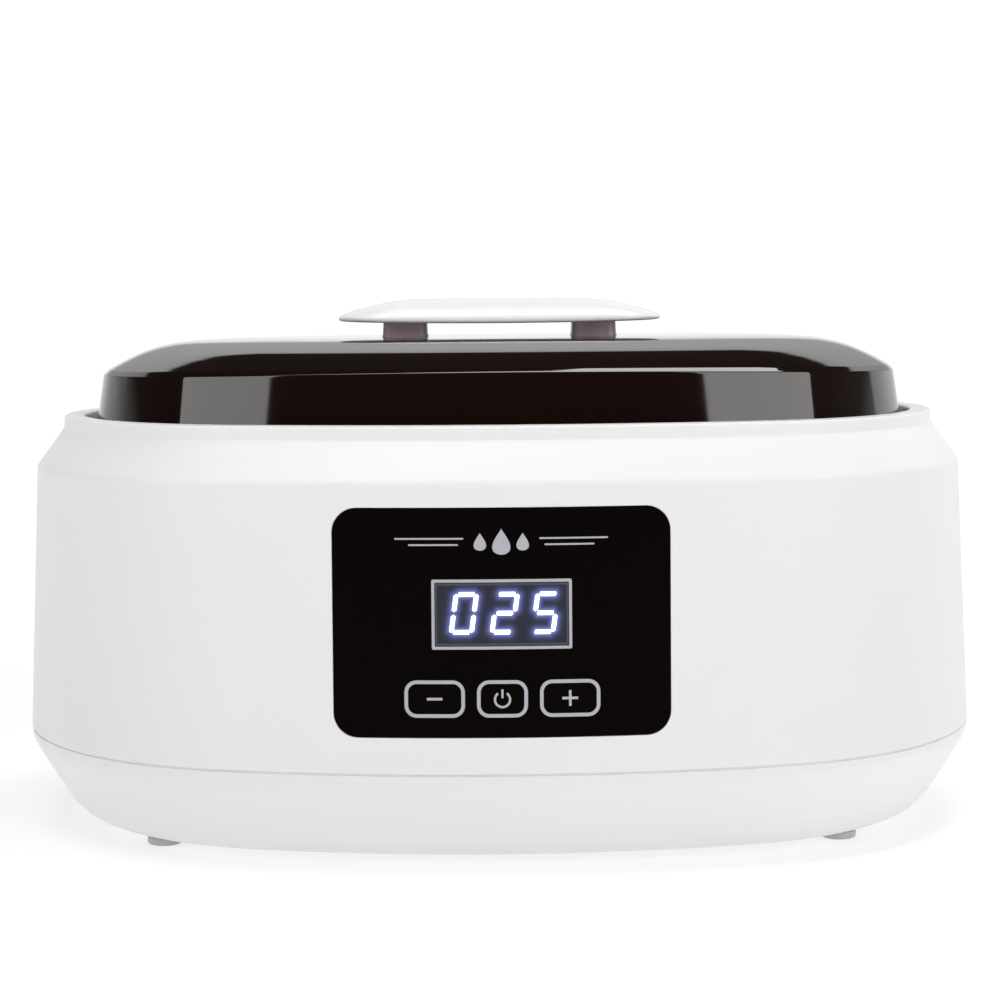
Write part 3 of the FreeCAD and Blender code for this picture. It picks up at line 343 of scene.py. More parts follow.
def dressed(item, body, material, slot, *nodes):
    """Gives a piece its body and material, and hides the nodes that it stands for. The slot is not
    used.
    """
    item.data.materials.clear()
    item.data.materials.append(material)
    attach(item, body)
    if nodes:
        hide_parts(*nodes)


# ---------------------------------------------------------------- materials


def base_material(name, color, roughness, **sockets):
    """A Principled material with node-made colour, roughness and bump left to wire."""
    material = bpy.data.materials.new(name)
    material.use_nodes = True
    tree = material.node_tree
    shader = next(n for n in tree.nodes if n.type == "BSDF_PRINCIPLED")
    shader.inputs["Base Color"].default_value = (*color, 1.0)
    shader.inputs["Roughness"].default_value = roughness
    for key, value in sockets.items():
        shader.inputs[key.replace("_", " ")].default_value = value
    return material, tree, shader


def add_node(tree, kind, inputs=None, **settings):
    node = tree.nodes.new(kind)
    for key, value in settings.items():
        setattr(node, key, value)
    for key, value in (inputs or {}).items():
        node.inputs[key].default_value = value
    return node


def coordinates(tree, stretch=(1.0, 1.0, 1.0)):
    """Object coordinates in metres, stretched along the axes."""
    where = add_node(tree, "ShaderNodeTexCoord")
    mapping = add_node(tree, "ShaderNodeMapping")
    mapping.inputs["Scale"].default_value = stretch
    tree.links.new(where.outputs["Object"], mapping.inputs["Vector"])
    return mapping.outputs["Vector"]


def noise(tree, vector, scale, detail=3.0):
    node = add_node(tree, "ShaderNodeTexNoise", {"Scale": scale, "Detail": detail})
    tree.links.new(vector, node.inputs["Vector"])
    return node.outputs["Fac"]


def spread(tree, factor, low, high):
    """A factor stretched from 0.3..0.7 to low..high."""
    node = add_node(tree, "ShaderNodeMapRange",
                    {"From Min": 0.3, "From Max": 0.7, "To Min": low, "To Max": high})
    tree.links.new(factor, node.inputs["Value"])
    return node.outputs["Result"]


def two_tone(tree, factor, first, second):
    node = add_node(tree, "ShaderNodeMix", data_type="RGBA")
    node.inputs["A"].default_value = (*first, 1.0)
    node.inputs["B"].default_value = (*second, 1.0)
    tree.links.new(factor, node.inputs["Factor"])
    return node.outputs["Result"]


def moulded(name, color, roughness, grain=1800.0, height=0.02, wave=0.0, **sockets):
    """Moulded plastic: a fine texture, a faint flow ripple and uneven gloss."""
    material, tree, shader = base_material(name, color, roughness, **sockets)
    vector = coordinates(tree)
    slow = noise(tree, vector, 14.0)
    dark = tuple(c * 0.965 for c in color)
    tree.links.new(two_tone(tree, slow, dark, color), shader.inputs["Base Color"])
    uneven = noise(tree, vector, 60.0)
    tree.links.new(spread(tree, uneven, roughness * 0.9, roughness * 1.1),
                   shader.inputs["Roughness"])
    bump = add_node(tree, "ShaderNodeBump", {"Strength": 1.0, "Distance": height * MM})
    tree.links.new(noise(tree, vector, grain, 2.0), bump.inputs["Height"])
    last = bump
    if wave:
        ripple = add_node(tree, "ShaderNodeBump", {"Strength": 1.0, "Distance": wave * MM})
        tree.links.new(noise(tree, vector, 22.0, 1.0), ripple.inputs["Height"])
        tree.links.new(bump.outputs["Normal"], ripple.inputs["Normal"])
        last = ripple
    tree.links.new(last.outputs["Normal"], shader.inputs["Normal"])
    return material


def metal(name, color, roughness, stretch=(1.0, 1.0, 1.0), scale=900.0, height=0.01):
    """Plated or rolled metal with fine lines along its rolling direction."""
    material, tree, shader = base_material(name, color, roughness, Metallic=1.0)
    vector = coordinates(tree, stretch)
    lines = noise(tree, vector, scale, 2.0)
    tree.links.new(spread(tree, lines, roughness * 0.7, roughness * 1.3),
                   shader.inputs["Roughness"])
    dull = tuple(c * 0.86 for c in color)
    tree.links.new(two_tone(tree, noise(tree, vector, 40.0), dull, color),
                   shader.inputs["Base Color"])
    bump = add_node(tree, "ShaderNodeBump", {"Strength": 0.6, "Distance": height * MM})
    tree.links.new(lines, bump.inputs["Height"])
    tree.links.new(bump.outputs["Normal"], shader.inputs["Normal"])
    return material


def fibrous(name, color, scale, height):
    """Felt, mica or woven sleeve: matt, mottled and uneven."""
    material, tree, shader = base_material(name, color, 0.85)
    vector = coordinates(tree)
    fibre = noise(tree, vector, scale, 8.0)
    dark = tuple(c * 0.72 for c in color)
    tree.links.new(two_tone(tree, spread(tree, fibre, 0.0, 1.0), dark, color),
                   shader.inputs["Base Color"])
    bump = add_node(tree, "ShaderNodeBump", {"Strength": 1.0, "Distance": height * MM})
    tree.links.new(fibre, bump.inputs["Height"])
    tree.links.new(bump.outputs["Normal"], shader.inputs["Normal"])
    return material


def circuit_board(name):
    """Solder resist over copper tracks, seen as a faint square pattern."""
    material, tree, shader = base_material(name, (0.01, 0.09, 0.035), 0.32)
    vector = coordinates(tree)
    brick = add_node(tree, "ShaderNodeTexBrick",
                     {"Scale": 260.0, "Mortar Size": 0.12, "Color1": (0.012, 0.11, 0.04, 1),
                      "Color2": (0.009, 0.085, 0.032, 1), "Mortar": (0.02, 0.17, 0.07, 1)})
    tree.links.new(vector, brick.inputs["Vector"])
    tree.links.new(brick.outputs["Color"], shader.inputs["Base Color"])
    bump = add_node(tree, "ShaderNodeBump", {"Strength": 0.5, "Distance": 0.03 * MM})
    tree.links.new(brick.outputs["Fac"], bump.inputs["Height"])
    tree.links.new(bump.outputs["Normal"], shader.inputs["Normal"])
    return material


def glowing(name, color, strength):
    """A lit LED segment behind its diffuser."""
    material, tree, shader = base_material(name, (0.8, 0.82, 0.9), 0.4)
    vector = coordinates(tree)
    tone = two_tone(tree, noise(tree, vector, 500.0), tuple(c * 0.94 for c in color), color)
    tree.links.new(tone, shader.inputs["Emission Color"])
    shader.inputs["Emission Strength"].default_value = strength
    return material


def smoked_window(name):
    """The display window: smoked acrylic that carries the glow around the lit segments."""
    material, tree, shader = base_material(name, (0.010, 0.011, 0.018), 0.12,
                                           Specular_IOR_Level=0.25)
    glow = add_node(tree, "ShaderNodeVertexColor", layer_name="glow")
    tree.links.new(glow.outputs["Color"], shader.inputs["Emission Color"])
    shader.inputs["Emission Strength"].default_value = 1.0
    vector = coordinates(tree)
    tree.links.new(spread(tree, noise(tree, vector, 120.0), 0.1, 0.15),
                   shader.inputs["Roughness"])
    bump = add_node(tree, "ShaderNodeBump", {"Strength": 0.4, "Distance": 0.01 * MM})
    tree.links.new(noise(tree, vector, 300.0), bump.inputs["Height"])
    tree.links.new(bump.outputs["Normal"], shader.inputs["Normal"])
    return material


def make_materials():
    """One material for each slot of the record, by slot name."""
    made = {
        "casing_white": moulded("casing_white", (0.765, 0.768, 0.768), 0.42, 2600.0, 0.006, 0.02,
                                Specular_IOR_Level=0.35),
        "rubber_grey": moulded("rubber_grey", (0.42, 0.42, 0.43), 0.75, 1500.0, 0.05),
        "zinc_steel": metal("zinc_steel", (0.72, 0.73, 0.75), 0.32),
        "tub_aluminium": metal("tub_aluminium", (0.83, 0.84, 0.85), 0.30, (1, 1, 8), 1500.0, 0.002),
        "silicone": moulded("silicone", (0.55, 0.10, 0.07), 0.55, 900.0, 0.04),
        "mica": fibrous("mica", (0.60, 0.50, 0.36), 420.0, 0.05),
        "galvanised_sheet": metal("galvanised_sheet", (0.66, 0.68, 0.70), 0.38, (1, 1, 1), 60.0),
        "bakelite": moulded("bakelite", (0.035, 0.022, 0.016), 0.38, 700.0, 0.03),
        "nickel_brass": metal("nickel_brass", (0.78, 0.76, 0.70), 0.22),
        "fuse_sleeve": fibrous("fuse_sleeve", (0.70, 0.68, 0.62), 1500.0, 0.06),
        "felt": fibrous("felt", (0.62, 0.60, 0.55), 900.0, 0.35),
        "board_green": circuit_board("board_green"),
        "relay_blue": moulded("relay_blue", (0.03, 0.16, 0.48), 0.35, 1200.0, 0.02),
        "ferrite": moulded("ferrite", (0.03, 0.03, 0.033), 0.55, 700.0, 0.04),
        "capacitor_yellow": moulded("capacitor_yellow", (0.72, 0.46, 0.05), 0.35, 900.0, 0.02),
        "can_black": moulded("can_black", (0.02, 0.02, 0.025), 0.25, 900.0, 0.01),
        "terminal_green": moulded("terminal_green", (0.03, 0.28, 0.09), 0.40, 1200.0, 0.02),
        "plug_white": moulded("plug_white", (0.75, 0.74, 0.70), 0.42, 1200.0, 0.02),
        "fuse_glass": moulded("fuse_glass", (0.80, 0.84, 0.85), 0.05, 400.0, 0.004,
                              Transmission_Weight=0.85, IOR=1.47),
        "inlet_black": moulded("inlet_black", (0.018, 0.018, 0.019), 0.36, 1600.0, 0.02),
        "wire_black": moulded("wire_black", (0.02, 0.02, 0.02), 0.45, 900.0, 0.02),
        "wire_green": moulded("wire_green", (0.10, 0.34, 0.05), 0.45, 900.0, 0.02),
        "wire_white": moulded("wire_white", (0.75, 0.75, 0.73), 0.45, 900.0, 0.02),
        "ribbon_grey": moulded("ribbon_grey", (0.36, 0.36, 0.37), 0.50, 900.0, 0.02),
        "panel_black": moulded("panel_black", (0.0020, 0.0011, 0.0009), 0.22, 1400.0, 0.002,
                               0.006, Specular_IOR_Level=0.02),
        "led_face": moulded("led_face", (0.03, 0.03, 0.035), 0.5, 900.0, 0.02),
        "switch_black": moulded("switch_black", (0.02, 0.02, 0.02), 0.4, 900.0, 0.02),
        "key_black": moulded("key_black", (0.0022, 0.0013, 0.0011), 0.24, 1400.0, 0.002, 0.006,
                             Specular_IOR_Level=0.02),
        "lid_smoke": moulded("lid_smoke", (0.0075, 0.0035, 0.0025), 0.045, 300.0, 0.0006, 0.05,
                             Specular_IOR_Level=0.5),
        "handle_white": moulded("handle_white", (0.80, 0.797, 0.81), 0.32, 2600.0, 0.003, 0.004),
        "grille_white": moulded("grille_white", (0.80, 0.80, 0.79), 0.45, 1500.0, 0.02),
    }
    made["window_smoke"] = smoked_window("window_smoke")
    made["post_smoke"] = moulded("post_smoke", (0.62, 0.50, 0.51), 0.3, 900.0, 0.004, 0.02,
                                 Specular_IOR_Level=0.3, Transmission_Weight=0.35)
    made["print_silver"] = moulded("print_silver", (0.42, 0.43, 0.46), 0.45, 1500.0, 0.004,
                                   Metallic=0.15)
    made["module_grey"] = moulded("module_grey", (0.035, 0.042, 0.062), 0.5, 1200.0, 0.01)
    made["segment_lit"] = glowing("segment_lit", (0.93, 0.93, 1.0), 1.9)
    return made


def dress_frame(materials):
    """Every CAD node gets the material of its record slot."""
    for part in frame["record"]["subparts"]:
        item = frame["nodes"][part["node"]]
        material = materials[part["material_slot"]]
        if not item.material_slots:
            item.data.materials.append(material)
        for entry in item.material_slots:
            entry.material = material


# ------------------------------------------------------------------- casing


def four(x, y):
    """Four stations, the same way round in each corner."""
    return [(side * x, end * y) for side in (-1, 1) for end in (-1, 1)]


def turned_group(name, path, stations):
    """One mesh of equal turned solids, upright at (x, y) stations."""
    bm = bmesh.new()
    for x, y in stations:
        lathe(bm, path, x, y)
    return add_object(name, bm)


BOSS_POSTS = four(124.8, 26.5)
SHIELD_POSTS = four(85.0, 46.0)
BOARD_POSTS = [(-55, -15), (-55, 39), (55, -15), (55, 39)]
FEET = four(105.5, 53.5)


def key_outline(name, grow=0.0):
    x, width = KEYS[name]
    return rounded_rect(width + 2 * grow, KEY_HEIGHT + 2 * grow, KEY_RADIUS + grow, (x, KEY_Z))


def make_upper_casing(materials):
    """The upper shell, with its inside posts, the inlet's pad and the openings cut."""
    section = [(0.0, PARTING_Z, 0.45), (SHOULDER_INSET, SHOULDER_Z, 3.0),
               (RIM_INSET, RIM_BASE_Z, 0.7), (RIM_INSET + 0.2, RIM_Z, 0.9),
               (RIM_INSET + RIM_WIDTH, RIM_Z, 0.9), (RIM_INSET + RIM_WIDTH + 0.4, LEDGE_Z, 0.3),
               (OPENING_INSET, LEDGE_Z, 0.3), (OPENING_INSET, LEDGE_Z - LEDGE_THICK, 0.3),
               (RIM_INSET + 0.4, LEDGE_Z - LEDGE_THICK, 0.8),
               (SHOULDER_INSET + WALL, SHOULDER_Z - 0.6, 1.5), (WALL, PARTING_Z, 0.3)]
    shell = oval_hoop("casing_upper", rounded_path(section, closed=True))
    posts = turned_group("casing_posts", [(1.5, 34.2), (4.2, 34.2), (4.2, 125.0), (1.5, 125.0)],
                         BOSS_POSTS)
    pad = box_mesh("casing_pad", (-29, 90.0, 35.0), (29, 99.5, 69.0))
    boolean(shell, [posts, pad], "UNION")
    border = rounded_rect(PANEL_SIZE[0] + 2 * PANEL_GAP, PANEL_SIZE[1] + 2 * PANEL_GAP,
                          PANEL_RADIUS, (0, PANEL_Z))
    cutters = [on_wall("cut_panel", [border], -1.0, PANEL_SINK + PANEL_THICK),
               box_mesh("cut_led", (-19.3, -104.0, WINDOW_Z - 8.5), (19.3, -88.0, WINDOW_Z + 8.5)),
               bar_along_y("cut_pocket", rounded_rect(50.8, 26.8, 4.2, (0, INLET_Z)),
                           INLET_SEAT_Y, INLET_SEAT_Y + 10),
               box_mesh("cut_socket", (-14.1, 80.0, 41.6), (14.1, 104.0, 62.4))]
    for name in KEYS:
        outline = key_outline(name, KEY_GAP)
        cutters.append(bar_along_y("cut_" + name, outline, -106.0, -92.0))
    boolean(shell, cutters)
    dressed(shell, "casing", materials["casing_white"], "casing_white", "outer_casing")


def make_lower_casing(materials):
    """The lower shell, with its tongue, posts and screw holes.

    The tongue stands close behind the parting line, so that the groove between the shells is
    shallow and reads as a pale line.
    """
    outer = [(94.0, 2.5, 0), (20.5, 2.5, 1.5), (17.6, 3.4, 3.0), (15.0, 5.0, 4.0),
             (12.6, 7.5, 5.0), (10.6, 10.5, 5.0), (1.5, 25.5, 8.0), (0.35, 28.5, 3.0),
             (0.1, 30.8, 0.3), (0.5, 30.8, 0.05), (0.5, 31.15, 0.05)]
    inner = [(2.75, 31.15, 0.1), (2.75, 34.2, 0.3), (4.35, 34.2, 0.3), (4.35, 26.0, 1.0),
             (15.2, 8.0, 3.0), (18.4, 5.0, 2.0), (94.0, 5.0, 0)]
    shell = oval_solid("casing_lower", rounded_path(outer + inner))
    posts = turned_group("tall_posts", [(0.0, 4.0), (4.2, 4.0), (4.2, 34.2), (0.0, 34.2)],
                         BOSS_POSTS)
    shield = turned_group("shield_posts", [(0.0, 4.0), (3.5, 4.0), (3.5, 30.0), (0.0, 30.0)],
                          SHIELD_POSTS)
    board = turned_group("board_posts", [(0.0, 4.0), (3.2, 4.0), (3.2, 9.0), (0.0, 9.0)],
                         BOARD_POSTS)
    boolean(shell, [posts, shield, board], "UNION")
    sinks = turned_group("sinks", [(0.0, 1.0), (4.2, 1.0), (3.6, 4.5), (3.6, 22.0), (0.0, 22.0)],
                         BOSS_POSTS)
    bores = turned_group("bores", [(0.0, 21.0), (1.7, 21.0), (1.7, 36.0), (0.0, 36.0)],
                         BOSS_POSTS)
    pilots = turned_group("pilots", [(0.0, 22.0), (1.25, 22.0), (1.25, 31.0), (0.0, 31.0)],
                          SHIELD_POSTS)
    necks = turned_group("necks", [(0.0, 0.0), (2.0, 0.0), (2.0, 8.0), (0.0, 8.0)], FEET)
    boolean(shell, [sinks, bores, pilots, necks])
    dressed(shell, "casing", materials["casing_white"], "casing_white", "base_casing")


def make_feet(materials):
    """The push-in rubber feet, hollowed under the middle."""
    path = [(0.0, 0.5), (3.2, 0.5), (3.6, 0.0), (4.9, 0.0), (5.3, 0.2), (5.5, 0.6), (5.5, 2.1),
            (5.2, 2.5), (2.0, 2.5), (2.0, 5.0), (2.9, 5.0), (2.85, 5.3), (1.9, 6.6), (0.0, 6.6)]
    feet = turned_group("foot_pads", path, FEET)
    dressed(feet, "casing", materials["rubber_grey"], "rubber_grey", "rubber_feet")


def make_tub(materials):
    """A drawn sheet tub with rolled corners and a flat rim."""
    section = [(94.0, 45.0, 0), (47.0, 45.0, 5.0), (39.6, 52.0, 9.0), (34.2, 126.8, 2.2),
               (21.0, 127.0, 0.3), (21.0, 128.0, 0.3), (34.9, 128.0, 2.4), (40.6, 53.0, 9.0),
               (47.6, 46.0, 5.0), (94.0, 46.0, 0)]
    tub = oval_solid("tub_drawn", rounded_path(section))
    dressed(tub, "casing", materials["tub_aluminium"], "tub_aluminium", "wax_tub")


# -------------------------------------------------------------------- panel


def make_panel(materials):
    """The gloss overlay in its recess, with openings for the display window and the keys."""
    outline = rounded_rect(*PANEL_SIZE, PANEL_RADIUS, (0, PANEL_Z), 14)
    window = rounded_rect(WINDOW_SIZE[0] + 0.1, WINDOW_SIZE[1] + 0.1, 0.8, (0, WINDOW_Z), 4)
    holes = [window] + [key_outline(name, KEY_GAP) for name in KEYS]
    sheet = on_wall("panel_sheet", [outline] + holes, PANEL_SINK, PANEL_SINK + PANEL_THICK, 0.12)
    dressed(sheet, "casing", materials["panel_black"], "panel_black", "control_panel")


def print_on_wall(name, loops, body, materials, material="print_silver", slot="panel_black"):
    """Printed ink: a film a few hundredths of a millimetre proud of the face it is on."""
    item = on_wall(name, loops, PANEL_SINK - 0.03, PANEL_SINK + 0.02)
    dressed(item, body, materials[material], slot)


MARK_SIZE, MARK_BAR = 4.6, 0.75


def make_keys(materials):
    """The key caps, each with its printed outline and its sign."""
    for name, (x, width) in KEYS.items():
        body = name + "_button"
        cap = on_wall(f"{name}_cap", [key_outline(name)], PANEL_SINK, 3.2, 0.25)
        dressed(cap, body, materials["key_black"], "key_black", f"{name}_key")
        ring_outer = rounded_rect(width - 0.1, KEY_HEIGHT - 0.1, KEY_RADIUS - 0.05, (x, KEY_Z))
        ring_inner = rounded_rect(width - 2.2, KEY_HEIGHT - 2.2, KEY_RADIUS - 1.1, (x, KEY_Z))
        print_on_wall(f"{name}_outline", [ring_outer, ring_inner], body, materials,
                      slot="key_black")
    minus = rounded_rect(MARK_SIZE, MARK_BAR, 0.25, (KEYS["low"][0], KEY_Z), 3)
    print_on_wall("low_mark", [minus], "low_button", materials, slot="key_black")
    plus = plus_outline(KEYS["high"][0], KEY_Z, MARK_SIZE, MARK_BAR)
    print_on_wall("high_mark", [plus], "high_button", materials, slot="key_black")
    make_power_mark(materials)


def plus_outline(x, z, size, bar):
    """The twelve corners of a plus sign."""
    half, side = size / 2, bar / 2
    corners = ((side, -half), (side, -side), (half, -side), (half, side), (side, side),
               (side, half), (-side, half), (-side, side), (-half, side), (-half, -side),
               (-side, -side), (-side, -half))
    return [(x + u, z + v) for u, v in corners]


def arc_band(x, z, radius, bar, start, end):
    """An outline of a bent bar with square ends."""
    steps = 40
    angles = [math.radians(start + (end - start) * step / steps) for step in range(steps + 1)]
    outer = [(x + (radius + bar / 2) * math.cos(a), z + (radius + bar / 2) * math.sin(a))
             for a in angles]
    inner = [(x + (radius - bar / 2) * math.cos(a), z + (radius - bar / 2) * math.sin(a))
             for a in reversed(angles)]
    return outer + inner


def make_power_mark(materials):
    """The usual mark for a stand-by key: an open ring with a bar in its gap."""
    x = KEYS["power"][0]
    open_ring = arc_band(x, KEY_Z - 0.2, 2.2, 0.65, 125, 415)
    bar = rounded_rect(0.65, 2.6, 0.2, (x, KEY_Z + 1.5), 3)
    print_on_wall("power_ring_mark", [open_ring], "power_button", materials, slot="key_black")
    print_on_wall("power_bar_mark", [bar], "power_button", materials, slot="key_black")


# Which of the seven segments (top, upper right, lower right, bottom, lower left, upper
# left, middle) each figure of the read-out lights.
FIGURES = {"0": "abcdef", "2": "abged", "5": "afgcd"}
READ_OUT = (("0", -11.0), ("2", 0.85), ("5", 12.65))
DIGIT_LOW, DIGIT_HIGH, DIGIT_HALF, BAR, SLANT = 72.3, 84.6, 3.6, 1.3, 0.14
GLOW_GRID, GLOW_TINT = 0.4, (0.28, 0.34, 1.0)


def segment_outlines(figure, centre):
    """The lit bars of a figure, as slanted outlines in the plane of the display."""
    mid = (DIGIT_LOW + DIGIT_HIGH) / 2
    half, cut = BAR / 2, 0.12
    left, right = -DIGIT_HALF + half, DIGIT_HALF - half
    low, high = DIGIT_LOW + half, DIGIT_HIGH - half
    ends = {"a": ((left, high), (right, high)), "b": ((right, mid), (right, high)),
            "c": ((right, low), (right, mid)), "d": ((left, low), (right, low)),
            "e": ((left, low), (left, mid)), "f": ((left, mid), (left, high)),
            "g": ((left, mid), (right, mid))}
    outlines = []
    for letter in FIGURES[figure]:
        (u0, v0), (u1, v1) = ends[letter]
        if v0 == v1:
            u0, u1 = u0 + half * 0.55 + cut, u1 - half * 0.55 - cut
            tip = half * 0.45
            shape = [(u0, v0), (u0 + tip, v0 - half), (u1 - tip, v0 - half), (u1, v0),
                     (u1 - tip, v0 + half), (u0 + tip, v0 + half)]
        else:
            v0, v1 = v0 - half * 0.35 + cut, v1 + half * 0.35 - cut
            if v0 > mid - 1:
                v0 = mid + half * 0.45 + cut
            if v1 < mid + 1:
                v1 = mid - half * 0.45 - cut
            tip = half * 0.8
            shape = [(u0, v0), (u0 + half, v0 + tip), (u0 + half, v1 - tip), (u0, v1),
                     (u0 - half, v1 - tip), (u0 - half, v0 + tip)]
        outlines.append([(centre + u + SLANT * (v - mid), v) for u, v in shape])
    return outlines


def distance_to_outline(u, v, outline):
    """Distance from a point to a convex outline's nearest edge."""
    best = 1e9
    for (u0, v0), (u1, v1) in zip(outline, outline[1:] + outline[:1]):
        du, dv = u1 - u0, v1 - v0
        t = max(0.0, min(1.0, ((u - u0) * du + (v - v0) * dv) / (du * du + dv * dv)))
        best = min(best, math.hypot(u - u0 - t * du, v - v0 - t * dv))
    return best


def make_display(materials):
    """The window, with its printed frame, the lit figures and the glow around them."""
    lit = [outline for figure, centre in READ_OUT for outline in segment_outlines(figure, centre)]
    width, height = WINDOW_SIZE
    across, up = int(width / GLOW_GRID), int(height / GLOW_GRID)
    bm = bmesh.new()
    layer = bm.verts.layers.float_color.new("glow")
    front = []
    for j in range(up + 1):
        line = []
        for i in range(across + 1):
            u = -width / 2 + width * i / across
            v = WINDOW_Z - height / 2 + height * j / up
            vert = bm.verts.new((u, wall_y(u, v, PANEL_SINK), v))
            near = min(distance_to_outline(u, v, outline) for outline in lit)
            halo = 0.62 * math.exp(-(near / 0.72) ** 1.2) + 0.035 * math.exp(-near / 2.0)
            vert[layer] = (*[tint * halo for tint in GLOW_TINT], 1.0)
            line.append(vert)
        front.append(line)
    for j in range(up):
        for i in range(across):
            bm.faces.new((front[j][i], front[j][i + 1], front[j + 1][i + 1], front[j + 1][i]))
    border = [edge for edge in bm.edges if edge.is_boundary]
    rim = bmesh.ops.extrude_edge_only(bm, edges=border)["geom"]
    back = [g for g in rim if isinstance(g, bmesh.types.BMVert)]
    for vert in back:
        vert.co.y += PANEL_THICK
        vert[layer] = (0, 0, 0, 1)
    loop = [g for g in rim if isinstance(g, bmesh.types.BMEdge) and g.is_boundary]
    bmesh.ops.edgeloop_fill(bm, edges=loop)
    window = add_object("window_pane", bm, 30.0)
    dressed(window, "casing", materials["window_smoke"], "window_smoke", "display_window")
    frame_loops = [rounded_rect(width - 0.05, height - 0.05, 0.5, (0, WINDOW_Z), 4),
                   rounded_rect(width - 1.75, height - 1.75, 0.3, (0, WINDOW_Z), 4)]
    print_on_wall("window_frame", frame_loops, "casing", materials, slot="window_smoke")
    inner_loops = [rounded_rect(width - 2.3, height - 2.3, 0.2, (0, WINDOW_Z), 3),
                   rounded_rect(width - 3.3, height - 3.6, 0.2, (0, WINDOW_Z), 3)]
    print_on_wall("module_edge", inner_loops, "casing", materials, "module_grey",
                  slot="window_smoke")
    for index, outline in enumerate(lit):
        item = on_wall(f"segment_{index}", [outline], PANEL_SINK - 0.04, PANEL_SINK + 0.02)
        dressed(item, "casing", materials["segment_lit"], "led_face")


def drop_outline(x, z, size):
    """A plain drop of wax."""
    points = []
    for step in range(28):
        angle = 2 * math.pi * step / 28
        u = math.sin(angle) * math.sin(angle / 2) ** 1.5 * 0.5
        v = math.cos(angle) * 0.5
        points.append((x + size * u, z + size * v))
    return list(reversed(points))


ORNAMENT_Z = 99.2


def make_ornament(materials):
    """A plain ornament where such panels carry a heading: drops between two rules."""
    level = ORNAMENT_Z
    for side in (-1, 1):
        for row, (inner, outer) in enumerate(((11.0, 31.0), (12.5, 27.0))):
            length = outer - inner
            rule = rounded_rect(length, 0.5, 0.24, (side * (inner + outer) / 2,
                                                    level + 0.9 - 1.8 * row), 3)
            print_on_wall(f"rule_{'left' if side < 0 else 'right'}_{row}", [rule], "casing",
                          materials)
    for index, (x, size) in enumerate(((-6.2, 5.2), (0.0, 7.6), (6.2, 5.2))):
        print_on_wall(f"drop_{index}", [drop_outline(x, level, size)], "casing", materials)


# ---------------------------------------------------------------------- lid


def smooth_through(points):
    """A smooth curve through points (Catmull-Rom), ends included."""
    samples = 7
    path = []
    padded = [points[0]] + list(points) + [points[-1]]
    for before, start, end, after in zip(padded, padded[1:], padded[2:], padded[3:]):
        for step in range(samples):
            t = step / samples
            path.append(tuple(0.5 * (2 * b + (c - a) * t + (2 * a - 5 * b + 4 * c - d) * t * t
                                     + (3 * b - a - 3 * c + d) * t ** 3)
                              for a, b, c, d in zip(before, start, end, after)))
    return path + [tuple(points[-1])]


def crease_rise(x, level):
    """The lid's shoulder is a little higher midway than at the ends."""
    if level < CREASE_Z:
        weight = max(0.0, (level - LID_Z) / (CREASE_Z - LID_Z))
    else:
        weight = max(0.0, 1.0 - (level - CREASE_Z) / 8.5)
    return weight * (1.2 - 2.3 * (x / 130.0) ** 2)


def make_lid(materials):
    """The smoked lid: a thin shell under a low crown, and two posts for the handle."""
    crown = [(26.9, 147.4), (30.4, 149.1), (34.6, 150.95), (39.2, 152.7), (44.6, 154.2),
             (51.2, 155.35), (60.4, 156.0), (72.0, 156.32), (84.0, 156.4), (94.5, 156.4)]
    low = 0.95 * LID_WALL
    inner_crown = [(u + 0.4 * LID_WALL, v - low) for u, v in crown[:-1]]
    wall_out = rounded_path([(26.9, 147.4, 0), (25.3, 146.0, 0.5), (LID_INSET, LID_Z, 0.5),
                             (LID_INSET + LID_WALL, LID_Z, 0.5),
                             (CREASE_INSET + LID_WALL, CREASE_Z - low + 0.4, 1.2),
                             (*inner_crown[0], 0)], spacing=3.0)
    path = (smooth_through(crown)[::-1] + wall_out[1:-1]
            + smooth_through(inner_crown + [(94.5, crown[-1][1] - low)]))
    bm = bmesh.new()
    stacked(bm, [[(x + LID_SHIFT, y, level + crease_rise(x, level)) for x, y, level in outline]
                 for outline in level_rings(path)])
    shell = add_object("lid_dome", bm)
    dressed(shell, "lid", materials["lid_smoke"], "lid_smoke", "lid_shell")
    bm = bmesh.new()
    for side in (-1, 1):
        centre = (side * POST_X + HANDLE_SHIFT, 0.0)
        stacked(bm, [[(x, y, level) for x, y in rounded_rect(size, size, radius, centre, 6)]
                     for level, size, radius in POST_SECTIONS])
    posts = add_object("lid_posts", bm)
    dressed(posts, "lid", materials["post_smoke"], "lid_smoke", "lid_shell")


def dense_rect(length, depth, radius):
    """A round-cornered outline with even points along its straight sides as well."""
    along, across, steps = 28, 6, 12
    corners = rounded_rect(length, depth, radius, steps=steps)
    points = []
    for quarter in range(4):
        arc = corners[quarter * (steps + 1):(quarter + 1) * (steps + 1)]
        after = corners[(quarter + 1) * (steps + 1) % len(corners)]
        points.extend(arc)
        count = across if quarter % 2 == 0 else along
        for step in range(1, count):
            t = step / count
            points.append((arc[-1][0] + (after[0] - arc[-1][0]) * t,
                           arc[-1][1] + (after[1] - arc[-1][1]) * t))
    return points


# How much higher the bar's underside is at its ends than in the middle.
TIP_RISE = 0.75


